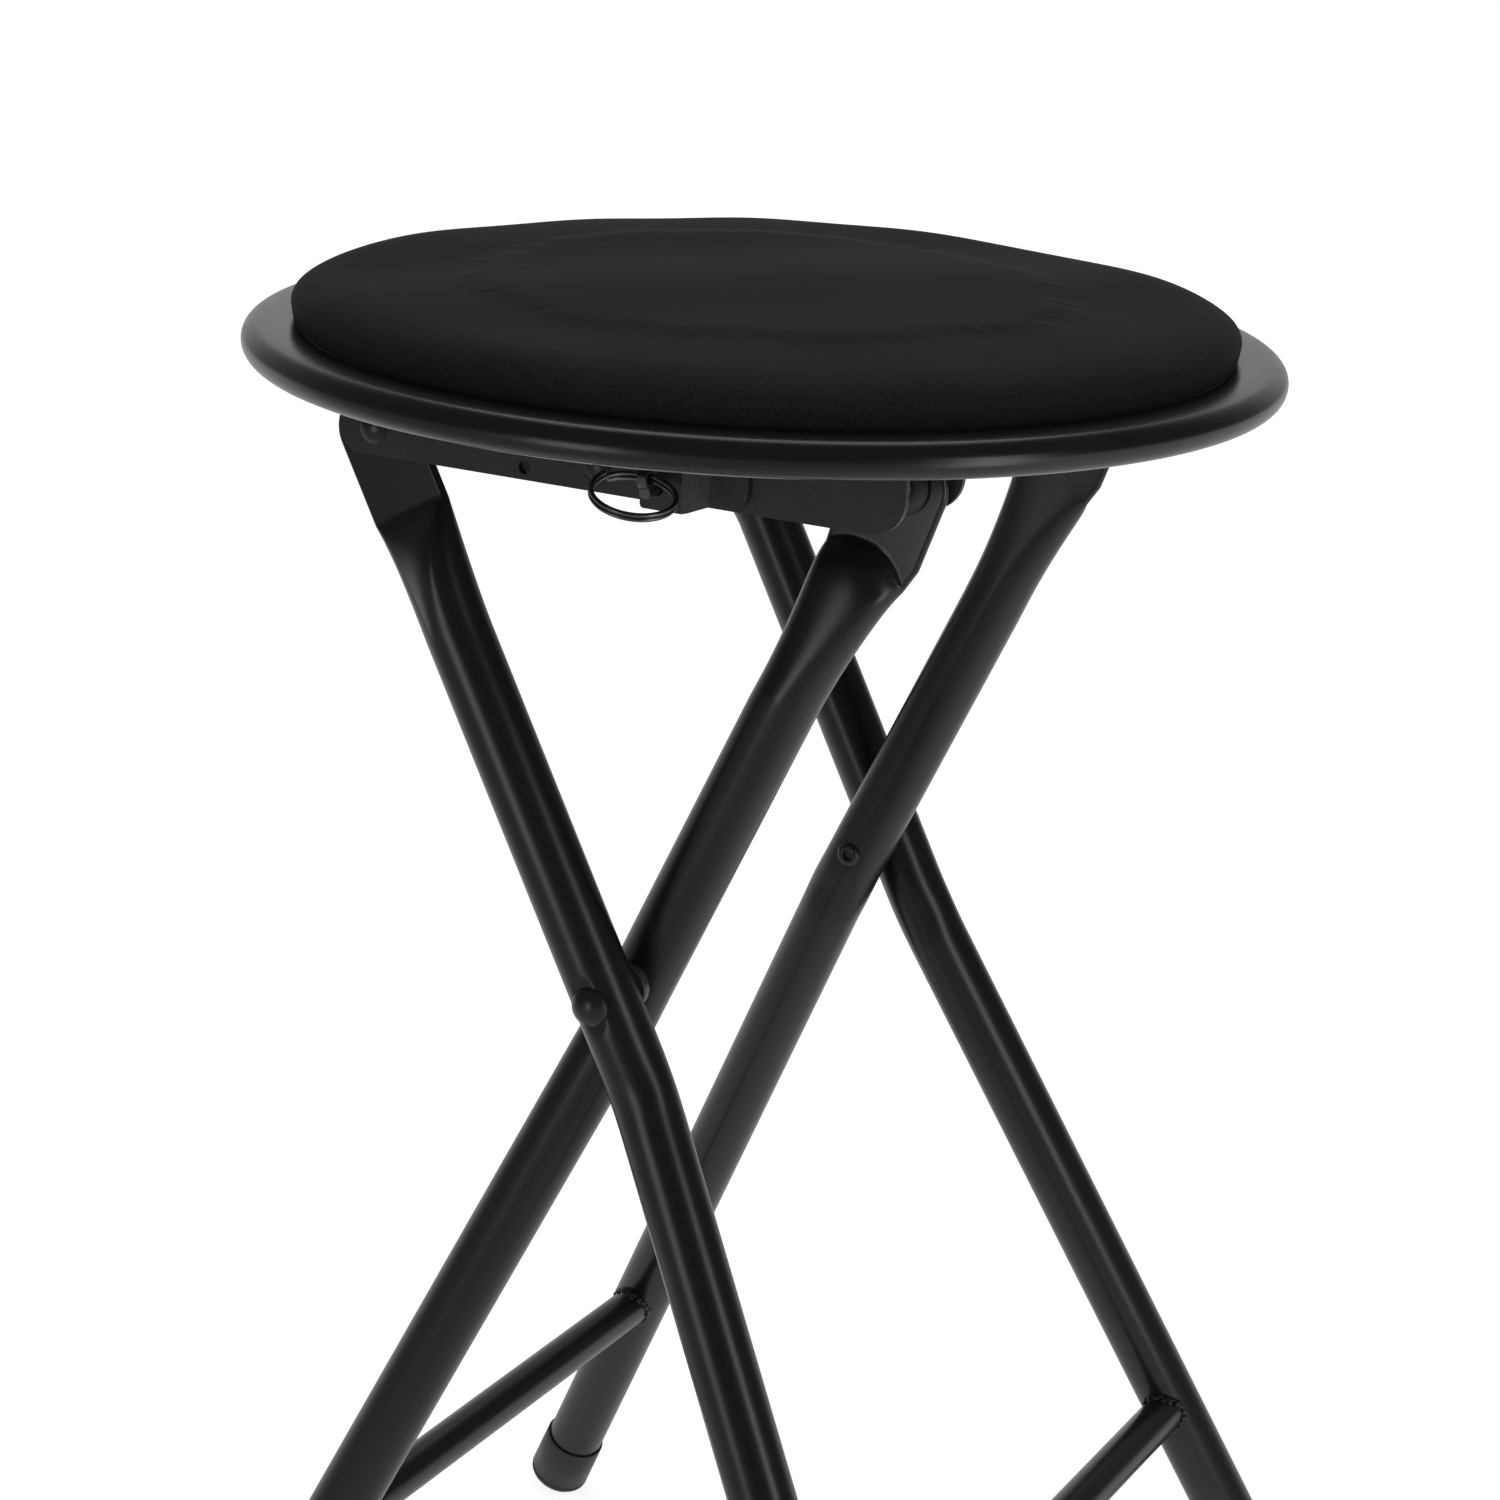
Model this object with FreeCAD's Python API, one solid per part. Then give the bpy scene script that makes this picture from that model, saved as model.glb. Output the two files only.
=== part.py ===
"""Round padded folding stool: two crossed tube frames under a seat that tips up.

Frame: +Z up, floor at z = 0, origin in the middle of the footprint. The frames cross in
planes of constant Y; the outer frame's feet stand at +X and the inner frame's at -X.
The seat turns on the inner frame's tops and is braced from the outer frame's tops by two
flat links, so that the stool stands when the links lie in line with the seat brackets.
Every piece is modelled at rest, standing open. Lengths are millimetres, angles degrees.
"""
import FreeCAD, Part
import math
import os

from FreeCAD import Vector

# Where the pivots are
pivot_x = 2.42               # crossing pivots, right of the middle of the footprint
pivot_height = 278.0         # crossing pivots above the floor
top_rise = 152.0             # seat-side pivots above the crossing pivots
outer_lean = 27.6            # outer frame's tubes from upright, tops to -X
inner_lean = 24.6            # inner frame's tubes from upright, tops to +X
fold_trim = 3.2              # bracket arm is this much longer than the link
fold_range = 47.5            # frames close by this angle

# Tubes
tube_radius = 9.5
tube_wall = 1.5
outer_tube_y = 92.2          # upper tubes' distance from the middle plane
inner_tube_y = 70.2
outer_bend_drop = 28.0       # along the tube, from crossing pivot to bend
inner_bend_drop = 15.5
outer_flare = 9.9            # lower tubes turn outward by this angle
inner_flare = 8.0
bend_radius = 75.0

# Flattened tube tops
flat_thickness = 3.4
outer_flat_inset = 2.2       # flat's middle, nearer the stool's middle plane than the tube's
inner_flat_inset = 7.2
outer_flat_width = 24.0      # at the shoulder
inner_flat_width = 28.4
outer_top_width = 24.0       # at the top pivot
inner_top_width = 25.0
outer_flat_below = 25.4      # from the top pivot down to the shoulder
inner_flat_below = 19.0
outer_neck = 37.0            # from the shoulder down to the full round tube
inner_neck = 48.0
neck_step = 12.0             # steep last stretch below the shoulder
outer_step_fullness = 0.40   # how round the tube still is at the foot of that stretch
inner_step_fullness = 0.72
neck_spread = 0.8            # share of the widening that is done there
seam_slit = 0.6              # gap left between the pressed walls in the neck
neck_end_angle = 30.0        # share of the round section that becomes the pressed ends

# Crossbars
bar_radius = 6.5
bar_wall = 1.2
outer_bar_height = 87.0
inner_bar_height = 87.5

# Foot caps
cap_wall = 0.9
cap_length = 20.0
cap_floor = 3.0
cap_round = 2.2
foot_flat = 0.6              # depth of the worn flat that meets the floor

# Sheet metal
sheet = 2.0                  # seat brackets and links
latch_sheet = 2.0
gap = 0.3                    # between pieces that slide past each other

# Links
link_half_width = 7.6
link_end_overhang = 10.6     # beyond the outer pivot
link_end_corner = 6.8
tail_lap = 1.9               # latch end of the link reaches this far past the pin's middle
notch_play = 0.25            # each side of the latch pin

# Seat brackets
bracket_edge_drop = 6.1      # lower edge below the pivot line
bracket_right_overhang = 15.5
bracket_left_radius = 7.0
bracket_corner = 10.0
tail_clearance = 0.6         # link's latch end passes this far below the board
ear_left = 14.0              # inner ear, left of the seat pivot
web_gap = 1.8                # web starts this far from the sweeping link tail
flange_width = 13.0
flange_gap = 2.0             # between the side flange and the web
web_screw_inset = 9.0        # screws from the web's ends
flange_screw_offset = 4.0    # screw to the right of the brace pivot
ledge_relief = 5.0           # bracket's top corners clear the rim's ledge this far down

# Rivets, washers and screws
shank_radius = 3.0
running_fit = 0.08           # radial clearance where a piece turns on a rivet
small_shank_radius = 2.5
dome_radius = 5.4
dome_height = 2.6
link_dome_radius = 4.4
link_dome_height = 2.0
tail_lip_radius = 4.0
tail_lip_height = 1.5
tail_bore_radius = 1.6
tail_bore_depth = 3.0
spacer_radius = 7.0
pivot_washer_radius = 7.7
pivot_washer_thickness = 1.5
screw_shank_radius = 2.0
screw_head_radius = 4.2
screw_head_height = 2.2
screw_bite = 3.6             # into the board
screw_slot = 1.0

# Latch
latch_pin_radius = 1.6
latch_pin_reach = 24.2       # pin's middle to the right of the brace pivot
latch_pin_drop = 0.6         # below the pivot line
latch_face_left = 4.9        # face runs this far left of the pin
latch_face_right = 7.7
latch_face_below = 5.7
latch_face_above = 11.0
latch_wall_lean = 4.6        # side wall slants this far to the right on its way back
latch_foot_length = 10.2
latch_foot_below = 4.6
latch_corner = 1.2
latch_foot_corner = 5.0
pin_collar_radius = 2.9
pin_collar_length = 1.2
pin_push = 2.0               # travel inward into the link
pin_pull = 2.0               # travel outward
pin_end = 1.0                # pin's end in front of the eye's middle
eye_rise = 4.1               # eye's middle above the pin's middle line
eye_radius = 3.1
eye_bore = 1.8
eye_width = 2.8
spring_wire = 0.3            # radius of the round wire
spring_radius = 2.2
spring_turns = 4
spring_slack = 0.6           # left when the pin is pulled right out
ring_radius = 11.2
ring_wire = 0.6              # radius of the round wire
ring_turns = 1.96
ring_pitch = 1.3
ring_droop = 11.8            # front of the ring hangs this far below level
ring_roll = 9.5              # and its right side by this much

# Seat
seat_offset = 6.74           # seat's middle, left of the crossing pivots
rim_radius = 150.0
rim_bottom_rise = 12.7       # lower edge above the pivot line
rim_round = 5.1              # outside radius of the rolled edge
rim_sheet = 1.4
rim_inner_rise = 22.9        # top of the rim beside the pad, above the pivot line
rim_swell = 0.3              # the top swells by this much between pad and rolled edge
rim_roll_top = 78.0          # rolled edge starts at this angle above level
rim_roll_end = 105.0         # and turns this far below level
rim_width = 14.0             # from the pad's side to the rim's outside
board_inset = 3.6            # board's edge inside the pad's side
ledge_lap = 2.8              # rim's ledge reaches this far under the board
board_thickness = 4.0
pad_waist = 1.5              # side of the pad draws in by this much at the bottom
pad_low_side = 5.7           # from the pad's lower edge to its widest line
pad_shoulder_rise = 7.6      # from the widest line to the edge of the crown
pad_shoulder = 6.5           # crown's edge inside the widest line
pad_crown = 4.0
pad_clear = 0.2

cutter = 500.0               # half the size of cutting blocks, larger than the stool

os.makedirs("parts", exist_ok=True)

outer_slope = math.tan(math.radians(outer_lean))
inner_slope = math.tan(math.radians(inner_lean))
pivot_line = pivot_height + top_rise
outer_arm = top_rise / math.cos(math.radians(outer_lean))
inner_arm = top_rise / math.cos(math.radians(inner_lean))
outer_top_x = pivot_x - top_rise * outer_slope
inner_top_x = pivot_x + top_rise * inner_slope
span = inner_top_x - outer_top_x
link_length = (span - fold_trim) / 2
brace_x = outer_top_x + link_length
seat_x = pivot_x - seat_offset

# Layers across the stool, as distances from its middle plane
inner_flat_y = inner_tube_y - inner_flat_inset - flat_thickness / 2
inner_flat_face = inner_flat_y + flat_thickness
outer_flat_y = outer_tube_y - outer_flat_inset - flat_thickness / 2
outer_flat_face = outer_flat_y + flat_thickness
link_y = outer_flat_face + gap
link_face = link_y + sheet
plate_y = link_face + gap
plate_face = plate_y + sheet
ear_face = inner_flat_y - gap
ear_y = ear_face - sheet
tail_radius = latch_pin_reach + tail_lap
board_z = pivot_line + tail_radius + tail_clearance
rim_bottom = pivot_line + rim_bottom_rise
rim_inner = pivot_line + rim_inner_rise
pad_radius = rim_radius - rim_width
board_radius = pad_radius - board_inset
rim_ledge_radius = board_radius - ledge_lap
latch_stand = (pin_push + gap + pin_collar_length + pin_pull + 2 * spring_wire * spring_turns
               + spring_slack + latch_sheet)
latch_face = plate_face + latch_stand
pin_x = brace_x + latch_pin_reach
pin_z = pivot_line - latch_pin_drop
pin_tip = link_face + gap
collar_y = plate_face + pin_push + gap
eye_y = latch_face + pin_push + gap + eye_radius
eye_z = pin_z + eye_rise


def fold_turns(fold):
    """Turns of the seat on the inner frame and of the links on the seat at a fold angle."""
    arm_angle = math.radians(outer_lean + inner_lean - fold)
    tops = math.sqrt(outer_arm ** 2 + inner_arm ** 2
                     - 2 * outer_arm * inner_arm * math.cos(arm_angle))
    bracket_arm = span - link_length
    knee = math.acos((bracket_arm ** 2 + link_length ** 2 - tops ** 2)
                     / (2 * bracket_arm * link_length))
    at_frame = math.acos((inner_arm ** 2 + tops ** 2 - outer_arm ** 2) / (2 * inner_arm * tops))
    at_link = math.acos((bracket_arm ** 2 + tops ** 2 - link_length ** 2)
                        / (2 * bracket_arm * tops))
    at_rest = math.radians(90 - inner_lean)
    return math.degrees(at_frame + at_link - at_rest), 180 - math.degrees(knee)


seat_turn, link_turn = fold_turns(fold_range)


def disc(x, y0, y1, z, radius):
    """Cylinder along Y from y0 to y1."""
    return Part.makeCylinder(radius, y1 - y0, Vector(x, y0, z), Vector(0, 1, 0))


def dome(x, y, z, radius, height, side):
    """Round rivet head on the plane at y, swelling towards side (+1 or -1)."""
    ball = (radius * radius + height * height) / (2 * height)
    half = math.asin(radius / ball) / 2
    base = Vector(x, y, z)
    edge = Vector(x + radius, y, z)
    crown = Vector(x, y + side * height, z)
    middle = Vector(x + ball * math.sin(half), y + side * (height - ball + ball * math.cos(half)), z)
    outline = [Part.LineSegment(base, edge), Part.Arc(edge, middle, crown), Part.LineSegment(crown, base)]
    face = Part.Face(Part.Wire([e.toShape() for e in outline]))
    return face.revolve(base, Vector(0, 1, 0), 360)


def slab_xz(points, y0, y1):
    """Plate between y0 and y1 over a closed outline of (x, z) points."""
    wire = Part.makePolygon([Vector(x, y0, z) for x, z in points + points[:1]])
    return Part.Face(wire).extrude(Vector(0, y1 - y0, 0))


def round_edges_along_y(shape, spots, radius):
    """Rounds the corners that run along Y through the given (x, z) spots."""
    near = []
    for edge in shape.Edges:
        a = edge.Vertexes[0].Point
        b = edge.Vertexes[-1].Point
        if abs(a.x - b.x) > 0.01 or abs(a.z - b.z) > 0.01:
            continue
        for x, z in spots:
            if abs(a.x - x) < 0.01 and abs(a.z - z) < 0.01:
                near.append(edge)
    return shape.makeFillet(radius, near)


def front(shape):
    """Turns a piece made at positive Y into the one at the stool's front."""
    return shape.mirror(Vector(0, 0, 0), Vector(0, 1, 0))


def save(name, shape):
    solids = shape.Solids
    assert solids and all(s.isValid() for s in solids), name
    shape.exportStep("parts/%s.step" % name)
    box = shape.BoundBox
    print("%-26s %d solid(s) %9.1f mm3  z %6.1f to %6.1f" % (
        name, len(solids), shape.Volume, box.ZMin, box.ZMax))
    return shape


def stand(shape, lean):
    """Leans a leg made upright over the crossing pivot into its place."""
    shape = shape.copy()
    shape.rotate(Vector(0, 0, 0), Vector(0, 1, 0), lean)
    shape.translate(Vector(pivot_x, 0, pivot_height))
    return shape


def leg_route(tube_y, top, bend_drop, flare, end_drop):
    """Corner points of a leg's middle line: top, bend, foot, with a tangent arc."""
    turn = math.radians(flare)
    down = Vector(0, 0, -1)
    out = Vector(0, math.sin(turn), -math.cos(turn))
    bend = Vector(0, tube_y, -bend_drop)
    reach = bend_radius * math.tan(turn / 2)
    start = Vector(0, tube_y, top)
    before = bend - down * reach
    after = bend + out * reach
    end = bend + out * ((end_drop - bend_drop) / math.cos(turn))
    middle = bend + (out - down).normalize() * (bend_radius / math.cos(turn / 2) - bend_radius)
    arc = Part.Arc(before, middle, after).toShape()
    edges = [Part.LineSegment(start, before).toShape(), arc, Part.LineSegment(after, end).toShape()]
    return Part.Wire(edges), start, end, out


def pipe(route, start, radius):
    """Round bar of the given radius along a route that starts downward."""
    circle = Part.Wire(Part.Circle(start, Vector(0, 0, 1), radius).toShape())
    return route.makePipeShell([circle], True, True)


def section(z, width, depth, end_width, end_half, middle):
    """Closed section at height z: two long sides swelling to depth, and two rounded ends."""
    x = width / 2 - end_width
    corners = [Vector(x, middle - end_half, z), Vector(x, middle + end_half, z),
               Vector(-x, middle + end_half, z), Vector(-x, middle - end_half, z)]
    ways = [Vector(width / 2, middle, z), Vector(0, middle + depth / 2, z),
            Vector(-width / 2, middle, z), Vector(0, middle - depth / 2, z)]
    edges = []
    for index in range(4):
        start, end = corners[index], corners[(index + 1) % 4]
        if index % 2 and depth / 2 - end_half < 0.001:
            edges.append(Part.LineSegment(start, end).toShape())
        else:
            edges.append(Part.Arc(start, ways[index], end).toShape())
    return Part.Wire(edges)


def round_section(z, radius, middle):
    """The same four edges laid on a circle."""
    part = math.radians(neck_end_angle)
    return section(z, 2 * radius, 2 * radius, radius * (1 - math.cos(part)),
                   radius * math.sin(part), middle)


def pressed_section(z, width, depth, middle):
    """The same four edges on a pressed tube: flat sides, half-round ends."""
    return section(z, width, depth, depth / 2, depth / 2, middle)


def neck(tube_y, flat_middle, low, high, radius, width, depth, fullness):
    """Solid that widens from the round tube, then steps down to the flat at the high end."""
    part = math.radians(neck_end_angle)
    step_width = 2 * radius * (1 - neck_spread) + width * neck_spread
    step_depth = 2 * radius * fullness + depth * (1 - fullness)
    end_width = radius * (1 - math.cos(part)) * fullness + depth / 2 * (1 - fullness)
    end_half = radius * math.sin(part) * fullness + depth / 2 * (1 - fullness)
    middle = tube_y * fullness + flat_middle * (1 - fullness)
    foot = section(high - neck_step, step_width, step_depth, end_width, end_half, middle)
    widening = Part.makeLoft([round_section(low, radius, tube_y), foot], True, True)
    step = Part.makeLoft([foot, pressed_section(high, width, depth, flat_middle)], True, True)
    return widening.fuse(step)


def tongue(flat_middle, flat_low, arm, width, top_width):
    """Flat top of a leg: tapers to the pivot and is rounded about it, with half-round sides."""
    low = pressed_section(flat_low, width, flat_thickness, flat_middle)
    high = pressed_section(arm, top_width, flat_thickness, flat_middle)
    blade = Part.makeLoft([low, high], True, True)
    return blade.fuse(disc(0, flat_middle - flat_thickness / 2, flat_middle + flat_thickness / 2,
                           arm, top_width / 2))


def leg(tube_y, flat_y, arm, bend_drop, flare, lean, below, neck_length, width, top_width,
        fullness, cross_hole):
    """One leg tube with its flattened top, bend and drilled holes, upright over the pivot."""
    flat_low = arm - below
    neck_low = flat_low - neck_length
    route, start, end, out = leg_route(tube_y, neck_low, bend_drop, flare, foot_drop(lean, flare))
    flat_middle = flat_y + flat_thickness / 2
    inner_radius = tube_radius - tube_wall
    skin = pipe(route, start, tube_radius)
    skin = skin.fuse(neck(tube_y, flat_middle, neck_low, flat_low, tube_radius, width,
                          flat_thickness, fullness))
    skin = skin.fuse(tongue(flat_middle, flat_low, arm, width, top_width))
    bore = pipe(route, start, inner_radius)
    bore = bore.fuse(neck(tube_y, flat_middle, neck_low, flat_low - tube_wall, inner_radius,
                          width - 2 * tube_wall, seam_slit, fullness))
    shape = skin.cut(bore).removeSplitter()
    far = tube_y + 2 * tube_radius
    shape = shape.cut(disc(0, tube_y - 2 * tube_radius, far, 0, cross_hole))
    return shape.cut(disc(0, flat_y, flat_y + flat_thickness, arm, small_shank_radius))


def foot_drop(lean, flare):
    """How far below the crossing pivot, along the leg, the tube's end lies."""
    upright = math.cos(math.radians(lean)) * math.cos(math.radians(flare))
    tilt = math.sqrt(1 - upright * upright)
    axis_end = (tube_radius + cap_wall) * tilt - cap_round * (tilt + upright - 1) - foot_flat
    tube_end = axis_end + cap_floor * upright
    return (pivot_height - tube_end) / math.cos(math.radians(lean))


def foot_cap(tube_y, bend_drop, flare, lean, side):
    """Cup pushed on the tube's end, with its lowest edge worn flat on the floor."""
    route, start, end, out = leg_route(tube_y, 0, bend_drop, flare, foot_drop(lean, flare))
    tip = end + out * cap_floor
    cup = Part.makeCylinder(tube_radius + cap_wall, cap_length, tip, out * -1)
    rims = [e for e in cup.Edges if e.Closed and (e.CenterOfMass - tip).Length < 0.01]
    cup = cup.makeFillet(cap_round, rims)
    cup = cup.cut(Part.makeCylinder(tube_radius, cap_length, end, out * -1))
    cup = stand(cup, side * lean)
    ground = Part.makeBox(2 * cutter, 2 * cutter, cutter, Vector(-cutter, -cutter, -cutter))
    return cup.cut(ground)


def crossbar(height, lean, side, tube_y, bend_drop, flare):
    """Tube along Y between two legs, coped to their round sides."""
    drop = pivot_height - height
    slope = math.tan(math.radians(lean))
    x = pivot_x + side * drop * slope
    reach = tube_y + (drop / math.cos(math.radians(lean)) - bend_drop) * math.tan(math.radians(flare))
    bar = disc(x, -reach, reach, height, bar_radius)
    bar = bar.cut(disc(x, -reach, reach, height, bar_radius - bar_wall))
    route, start, end, out = leg_route(tube_y, 0, bend_drop, flare, foot_drop(lean, flare))
    solid_leg = stand(pipe(route, start, tube_radius), -side * lean)
    return bar.cut(solid_leg).cut(front(solid_leg))


def rolled_lip(x, low, high, z):
    """Rolled-over end of a tubular rivet: a low ring with its free edge rounded."""
    lip = disc(x, low, high, z, tail_lip_radius)
    free = [e for e in lip.Edges if e.Closed and abs(e.CenterOfMass.y - low) < 0.01]
    return lip.makeFillet(0.7 * (high - low), free)


def cross_rivet():
    """Tubular rivet through both tubes at a crossing: dome outside, rolled lip inside."""
    outside = outer_tube_y + tube_radius
    inside = inner_tube_y - tube_radius
    end = inside - tail_lip_height
    body = disc(pivot_x, inside, outside + gap, pivot_height, shank_radius)
    body = body.fuse(dome(pivot_x, outside + gap, pivot_height, dome_radius, dome_height, 1))
    body = body.fuse(rolled_lip(pivot_x, end, inside, pivot_height))
    return body.cut(disc(pivot_x, end, end + tail_bore_depth, pivot_height, tail_bore_radius))


def cross_spacer():
    """Washer that keeps the crossing tubes apart, seated on the inner tube."""
    low = inner_tube_y + tube_radius
    high = outer_tube_y - tube_radius - gap
    ring = disc(pivot_x, low, high, pivot_height, spacer_radius)
    return ring.cut(disc(pivot_x, low, high, pivot_height, shank_radius))


def seat_pivot_rivet():
    """Rivet on which the seat bracket's ear turns beside the inner leg's flat."""
    low = ear_y - gap
    high = inner_flat_face + pivot_washer_thickness + tail_lip_height
    body = disc(inner_top_x, low, high, pivot_line, small_shank_radius)
    body = body.fuse(dome(inner_top_x, low, pivot_line, link_dome_radius, link_dome_height, -1))
    flare_low = inner_flat_face + pivot_washer_thickness
    body = body.fuse(disc(inner_top_x, flare_low, high, pivot_line, small_shank_radius + 0.8))
    return body.cut(disc(inner_top_x, high - tail_bore_depth, high, pivot_line, tail_bore_radius))


def seat_pivot_washer():
    high = inner_flat_face + pivot_washer_thickness
    ring = disc(inner_top_x, inner_flat_face, high, pivot_line, pivot_washer_radius)
    return ring.cut(disc(inner_top_x, inner_flat_face, high, pivot_line, small_shank_radius))


def brace_pivot_rivet():
    """Rivet at the middle of the brace: fixed in the seat bracket, the link turns on it."""
    low = link_y - gap
    body = disc(brace_x, low, plate_face, pivot_line, small_shank_radius)
    body = body.fuse(dome(brace_x, plate_face, pivot_line, link_dome_radius, link_dome_height, 1))
    return body.fuse(disc(brace_x, low - tail_lip_height, low, pivot_line, tail_lip_radius))


def link_rivet_head():
    """Dome and shank that turn with the link at the outer leg's top."""
    body = disc(outer_top_x, link_y, link_face, pivot_line, small_shank_radius)
    return body.fuse(dome(outer_top_x, link_face, pivot_line, link_dome_radius, link_dome_height, 1))


def link_rivet_tail():
    """Rest of the same rivet, which stays with the outer leg's flat."""
    body = disc(outer_top_x, outer_flat_y, outer_flat_face, pivot_line, small_shank_radius)
    low = outer_flat_y - tail_lip_height
    return body.fuse(disc(outer_top_x, low, outer_flat_y, pivot_line, tail_lip_radius))


def link():
    """Flat strip from the outer leg's top to the brace pivot, with its latch end."""
    left = outer_top_x - link_end_overhang
    low = pivot_line - link_half_width
    high = pivot_line + link_half_width
    strip = slab_xz([(left, low), (brace_x, low), (brace_x, high), (left, high)], link_y, link_face)
    strip = round_edges_along_y(strip, [(left, low), (left, high)], link_end_corner)
    hub = disc(brace_x, link_y, link_face, pivot_line, link_half_width)
    tail = slab_xz([(brace_x, low), (brace_x + 2 * tail_radius, low),
                    (brace_x + 2 * tail_radius, high), (brace_x, high)], link_y, link_face)
    tail = tail.common(disc(brace_x, link_y, link_face, pivot_line, tail_radius))
    shape = strip.fuse(hub).fuse(tail).removeSplitter()
    slot = latch_pin_radius + notch_play
    for turn in (0, link_turn):
        hole = disc(pin_x, link_y, link_face, pin_z, slot)
        hole.rotate(Vector(brace_x, 0, pivot_line), Vector(0, 1, 0), turn)
        shape = shape.cut(hole)
    open_end = Part.makeBox(tail_radius, sheet, 2 * slot, Vector(pin_x, link_y, pin_z - slot))
    shape = shape.cut(open_end)
    shape = shape.cut(disc(brace_x, link_y, link_face, pivot_line, small_shank_radius + running_fit))
    return shape.cut(disc(outer_top_x, link_y, link_face, pivot_line, small_shank_radius))


def bracket_screw_spots():
    """Where the bracket is screwed to the board: (x, y)."""
    web_middle = (ear_y + plate_face) / 2
    right = inner_top_x + bracket_right_overhang
    web_left = brace_x + tail_radius + web_gap
    flange_middle = plate_face + flange_width / 2
    return [(web_left + web_screw_inset, web_middle), (right - web_screw_inset, web_middle),
            (brace_x + flange_screw_offset, flange_middle)]


def seat_bracket(latched):
    """Pressed channel under the seat: outer plate, web, inner ear and a side flange."""
    left = brace_x - bracket_left_radius
    right = inner_top_x + bracket_right_overhang
    low = pivot_line - bracket_edge_drop
    web_left = brace_x + tail_radius + web_gap
    plate = slab_xz([(brace_x, low), (right, low), (right, board_z), (left, board_z),
                     (left, pivot_line)], plate_y, plate_face)
    plate = round_edges_along_y(plate, [(right, low)], bracket_corner)
    plate = plate.fuse(disc(brace_x, plate_y, plate_face, pivot_line, bracket_left_radius))
    plate = plate.cut(Part.makeBox(cutter, sheet, cutter, Vector(left, plate_y, low - cutter)))
    web = Part.makeBox(right - web_left, plate_face - ear_y, sheet,
                       Vector(web_left, ear_y, board_z - sheet))
    ear_start = inner_top_x - ear_left
    ear = slab_xz([(ear_start, low), (right, low), (right, board_z), (ear_start, board_z)],
                  ear_y, ear_face)
    ear = round_edges_along_y(ear, [(right, low), (ear_start, low)], bracket_corner)
    flange = Part.makeBox(web_left - flange_gap - left, plate_face + flange_width - plate_y, sheet,
                          Vector(left, plate_y, board_z - sheet))
    shape = plate.fuse(web).fuse(ear).fuse(flange).removeSplitter()
    ear_hole = small_shank_radius + running_fit
    shape = shape.cut(disc(inner_top_x, ear_y, ear_face, pivot_line, ear_hole))
    shape = shape.cut(disc(brace_x, plate_y, plate_face, pivot_line, small_shank_radius))
    base = Vector(seat_x, 0, board_z - ledge_relief)
    outside = Part.makeCylinder(cutter, ledge_relief, base)
    shape = shape.cut(outside.cut(Part.makeCylinder(rim_ledge_radius - gap, ledge_relief, base)))
    if latched:
        shape = shape.cut(disc(pin_x, plate_y, plate_face, pin_z, latch_pin_radius + notch_play))
    for x, y in bracket_screw_spots():
        shape = shape.cut(Part.makeCylinder(screw_shank_radius, 3 * sheet,
                                            Vector(x, y, board_z - 2 * sheet)))
    return shape


def bracket_screw(x, y):
    """Pan-head screw from below, through the bracket into the board."""
    low = board_z - sheet - screw_head_height
    screw = Part.makeCylinder(screw_head_radius, screw_head_height, Vector(x, y, low))
    screw = screw.fuse(Part.makeCylinder(screw_shank_radius, screw_head_height + sheet + screw_bite,
                                         Vector(x, y, low)))
    for turn in (0, 90):
        slot = Part.makeBox(2 * screw_head_radius * 0.6, screw_slot, screw_slot,
                            Vector(x - screw_head_radius * 0.6, y - screw_slot / 2, low))
        slot.rotate(Vector(x, y, 0), Vector(0, 0, 1), turn)
        screw = screw.cut(slot)
    return screw


def latch_bracket():
    """Z-shaped sheet: foot on the seat bracket, side wall, and the face that holds the pin."""
    face = latch_face
    left = pin_x - latch_face_left
    right = pin_x + latch_face_right
    low = pin_z - latch_face_below
    high = pin_z + latch_face_above
    tab = slab_xz([(left, low), (right, low), (right, high), (left, high)],
                  face - latch_sheet, face)
    tab = round_edges_along_y(tab, [(left, low), (left, high)], latch_corner)
    back = right + latch_wall_lean
    corners = [(right - latch_sheet, face), (right, face), (back, plate_face),
               (back - latch_sheet, plate_face), (right - latch_sheet, face)]
    wall = Part.Face(Part.makePolygon([Vector(x, y, low) for x, y in corners]))
    wall = wall.extrude(Vector(0, 0, high - low))
    foot_low = pin_z - latch_foot_below
    foot_right = back + latch_foot_length
    foot = slab_xz([(back - latch_sheet, foot_low), (foot_right, foot_low), (foot_right, high),
                    (back - latch_sheet, high)], plate_face, plate_face + latch_sheet)
    foot = round_edges_along_y(foot, [(foot_right, foot_low), (foot_right, high)], latch_foot_corner)
    bevel = Part.makePolygon([Vector(right - latch_sheet, y, z) for y, z in (
        (plate_face, low), (plate_face, foot_low), (face - latch_sheet, low), (plate_face, low))])
    wall = wall.cut(Part.Face(bevel).extrude(Vector(latch_wall_lean + latch_sheet, 0, 0)))
    shape = tab.fuse(wall).fuse(foot).removeSplitter()
    return shape.cut(disc(pin_x, face - latch_sheet, face, pin_z, latch_pin_radius + notch_play))


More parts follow.
